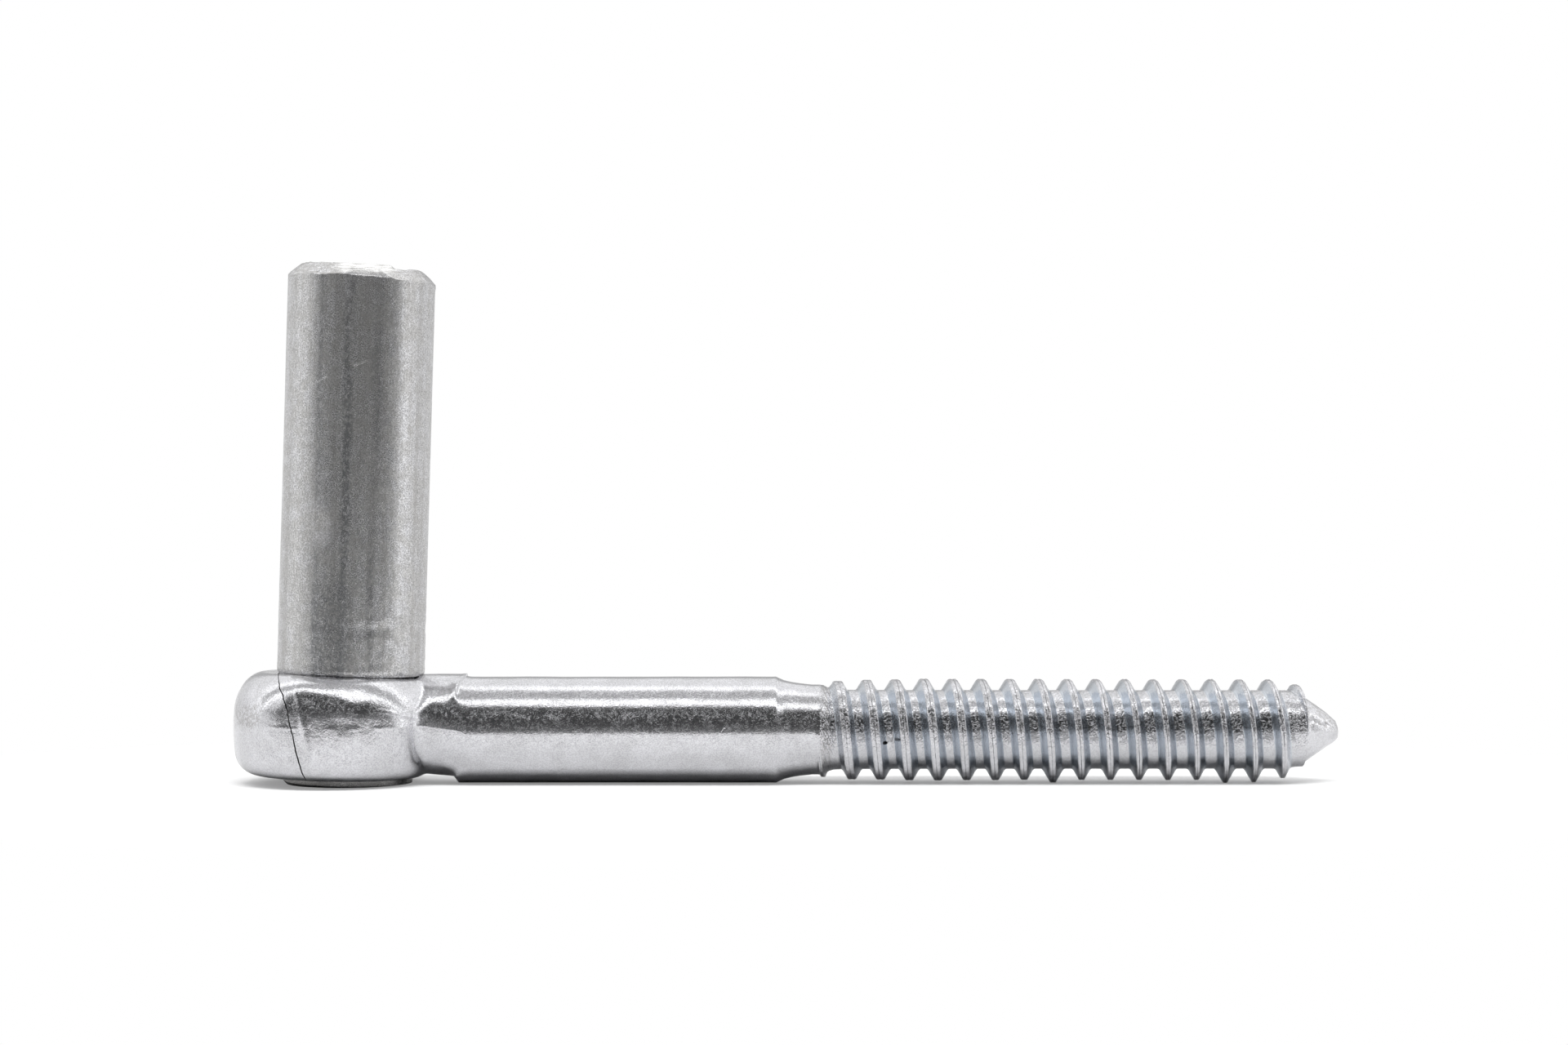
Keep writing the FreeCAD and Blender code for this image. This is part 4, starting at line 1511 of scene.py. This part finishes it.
@dataclass
class Studio:
    """A white table in a white room with a dark side behind the camera."""

    table_level: float
    table_radius: float = 0.3
    table_middle: tuple[float, float] = (0.045, 0.22)
    table_grey: float = 0.59
    table_glow: float = 0.25
    shadow_reach: tuple[float, float] = (0.12, 0.08)
    room_strength: float = 0.86
    bands: tuple[Band, ...] = (
        Band(1.95, 54, 57, 74, 71), Band(0.54, 71, 74, 99, 95),
        Band(1.08, 106, 112, 155, 145), Band(1.7, 96, 99, 116, 108),
    )
    lamp_power: float = 4.6
    lamp_size: tuple[float, float] = (0.6, 0.25)
    lamp_place: tuple[float, float, float] = (0.045, -0.28, 0.55)
    lamp_tilt: float = 27.0
    lens: float = 65.0
    film_width: float = 36.0
    camera_place: tuple[float, float, float] = (0.04752, -0.3107, 0.01654)

    def table(self) -> bpy.types.Object:
        """Lays the round table top, which keeps the shadow near the part and is white beyond.

        Returns:
            The table.
        """
        bm = bmesh.new()
        bmesh.ops.create_circle(bm, cap_ends=True, segments=96, radius=self.table_radius)
        bmesh.ops.translate(bm, verts=bm.verts, vec=(*self.table_middle, self.table_level))
        data = bpy.data.meshes.new("table")
        bm.to_mesh(data)
        bm.free()
        material = bpy.data.materials.new("table_white")
        material.use_nodes = True
        material.node_tree.nodes.clear()
        bench = Bench(material.node_tree)
        grey = (self.table_grey,) * 3 + (1.0,)
        shaded = bench.node("ShaderNodeBsdfDiffuse", {"Color": grey})
        seen = bench.node("ShaderNodeLightPath").outputs["Is Camera Ray"]
        glow = bench.multiply(seen, self.table_glow)
        glow = bench.node("ShaderNodeEmission", {"Color": WHITE, "Strength": glow})
        lit = bench.node("ShaderNodeAddShader", {0: shaded.outputs[0], 1: glow.outputs[0]})
        where = bench.node("ShaderNodeTexCoord").outputs["Object"]
        moved = bench.stretch(where, EVEN, shift=(-self.table_middle[0], 0, 0))
        flat = bench.stretch(moved, (1 / self.shadow_reach[0], 1 / self.shadow_reach[1], 0.0))
        edge = bench.multiply(bench.ease(bench.distance(flat), 0.45, 0.92), seen)
        plain = bench.node("ShaderNodeEmission", {"Color": WHITE, "Strength": 1.0})
        both = bench.node("ShaderNodeMixShader", {0: edge, 1: lit.outputs[0], 2: plain.outputs[0]})
        bench.node("ShaderNodeOutputMaterial", {"Surface": both.outputs[0]})
        data.materials.append(material)
        top = bpy.data.objects.new("table", data)
        bpy.context.scene.collection.objects.link(top)
        return top

    def room(self) -> bpy.types.World:
        """Builds the room that the metal mirrors, white where the camera sees it.

        Returns:
            The world.
        """
        world = bpy.data.worlds.new("room")
        bpy.context.scene.world = world
        world.use_nodes = True
        world.node_tree.nodes.clear()
        bench = Bench(world.node_tree)
        x, y, z = bench.parts(bench.node("ShaderNodeTexCoord").outputs["Generated"])
        front = bench.multiply(y, -1.0)
        degrees = 180.0 / math.pi
        rise = bench.multiply(bench.sum("ARCSINE", z), degrees)
        over = bench.multiply(bench.sum("ARCTAN2", z, front), degrees)
        aside = bench.multiply(bench.sum("ARCTAN2", x, front), degrees)
        aside = bench.sum("ABSOLUTE", aside)
        right = bench.sum("GREATER_THAN", x, 0.0)
        low = bench.ease(rise, 62.0, 55.0)
        ease = bench.ease
        level = self.zone(
            bench, self.room_strength, 1.6, ease(aside, 78, 84), ease(aside, 100, 94), right, low
        )
        level = self.zone(bench, level, 1.05, ease(aside, 84, 94), ease(aside, 112, 102), low)
        for band in self.bands:
            level = self.zone(
                bench, level, band.strength,
                ease(over, band.starts, band.full_from), ease(over, band.ends, band.full_to),
            )
        slant = bench.sum("ADD", ease(rise, 7.0, 14.0, 0.0, 12.0), ease(rise, 1.4, -1.5, 0.0, 24.0))
        slant = bench.multiply(slant, bench.sum("SUBTRACT", 1.0, right))
        edge = ease(bench.sum("ADD", aside, slant), 84, 62)
        dim = ease(rise, 15.0, 3.0, 0.075, 0.13)
        level = self.zone(bench, level, dim, edge, ease(rise, -34, -26), ease(over, 58, 55))
        level = self.zone(
            bench, level, 0.5, ease(aside, 148, 160), ease(rise, 3.0, 6.0), ease(rise, 30, 25)
        )
        seen = bench.node("ShaderNodeLightPath").outputs["Is Camera Ray"]
        shown = bench.node("ShaderNodeMix", {0: seen, 2: level, 3: 1.0}).outputs[0]
        back = bench.node("ShaderNodeBackground", {"Color": WHITE, "Strength": shown})
        bench.node("ShaderNodeOutputWorld", {"Surface": back.outputs[0]})
        return world

    @staticmethod
    def zone(
        bench: Bench, level: Link, value: Link, *masks: bpy.types.NodeSocket
    ) -> bpy.types.NodeSocket:
        """Sets the room's brightness to a value where all the masks are 1."""
        links = {0: bench.multiply(*masks), 2: level, 3: value}
        return bench.node("ShaderNodeMix", links).outputs[0]

    def softbox(self) -> bpy.types.Object:
        """Hangs the soft lamp that lights the table from above and in front.

        Returns:
            The lamp.
        """
        data = bpy.data.lights.new("softbox", "AREA")
        data.shape = "RECTANGLE"
        data.size, data.size_y = self.lamp_size
        data.energy = self.lamp_power
        lamp = bpy.data.objects.new("softbox", data)
        lamp.location = self.lamp_place
        lamp.rotation_euler = (math.radians(self.lamp_tilt), 0.0, 0.0)
        lamp.visible_glossy = False
        lamp.visible_camera = False
        bpy.context.scene.collection.objects.link(lamp)
        return lamp

    def camera(self) -> bpy.types.Object:
        """Stands the camera where the photograph was taken from.

        Returns:
            The camera.
        """
        data = bpy.data.cameras.new("camera")
        data.lens = self.lens
        data.sensor_width = self.film_width
        data.clip_start = 0.01
        data.clip_end = 20.0
        eye = bpy.data.objects.new("camera", data)
        eye.location = self.camera_place
        eye.rotation_euler = (math.pi / 2, 0.0, 0.0)
        bpy.context.scene.collection.objects.link(eye)
        bpy.context.scene.camera = eye
        return eye


def settle(piece: bpy.types.Object, node: str) -> None:
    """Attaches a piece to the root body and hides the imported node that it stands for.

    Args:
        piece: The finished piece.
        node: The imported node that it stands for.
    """
    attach(piece, "root")
    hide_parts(node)
    LOG.info("%s stands for %s, with %d vertices", piece.name, node, len(piece.data.vertices))


def main() -> None:
    """Builds the studio, the bar and the eye screw."""
    logging.basicConfig(level=logging.INFO, format="%(message)s")
    mounts = {mount["name"]: mount for mount in frame["record"]["mounts"]}
    lean = math.asin(mounts["gate_pin"]["axis"][0])
    level = mounts["lag_shank"]["pos_m"][2] / MM
    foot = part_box("hinge_pin")[0].z / MM
    studio = Studio(table_level=foot * MM - TABLE_GAP)
    studio.room()
    studio.table()
    studio.softbox()
    studio.camera()
    effects = Effects()
    bright = BrightZinc().make(effects)
    pin_radius, shank_radius = (mounts[name]["dims"]["r_mm"] for name in ("gate_pin", "lag_shank"))
    bar = HingePin(radius=pin_radius, lean=lean, foot_level=foot)
    settle(bar.build(DullZinc().make(effects)), "hinge_pin")
    forging = Forging(lean=lean, shank_radius=shank_radius, shank_level=level)
    screw = EyeScrew(forging, Thread(level=level))
    settle(screw.build(bright, CrackScale().make()), "eye_screw")
    bpy.context.scene.view_settings.view_transform = "Standard"


if __name__ == "__main__":
    main()
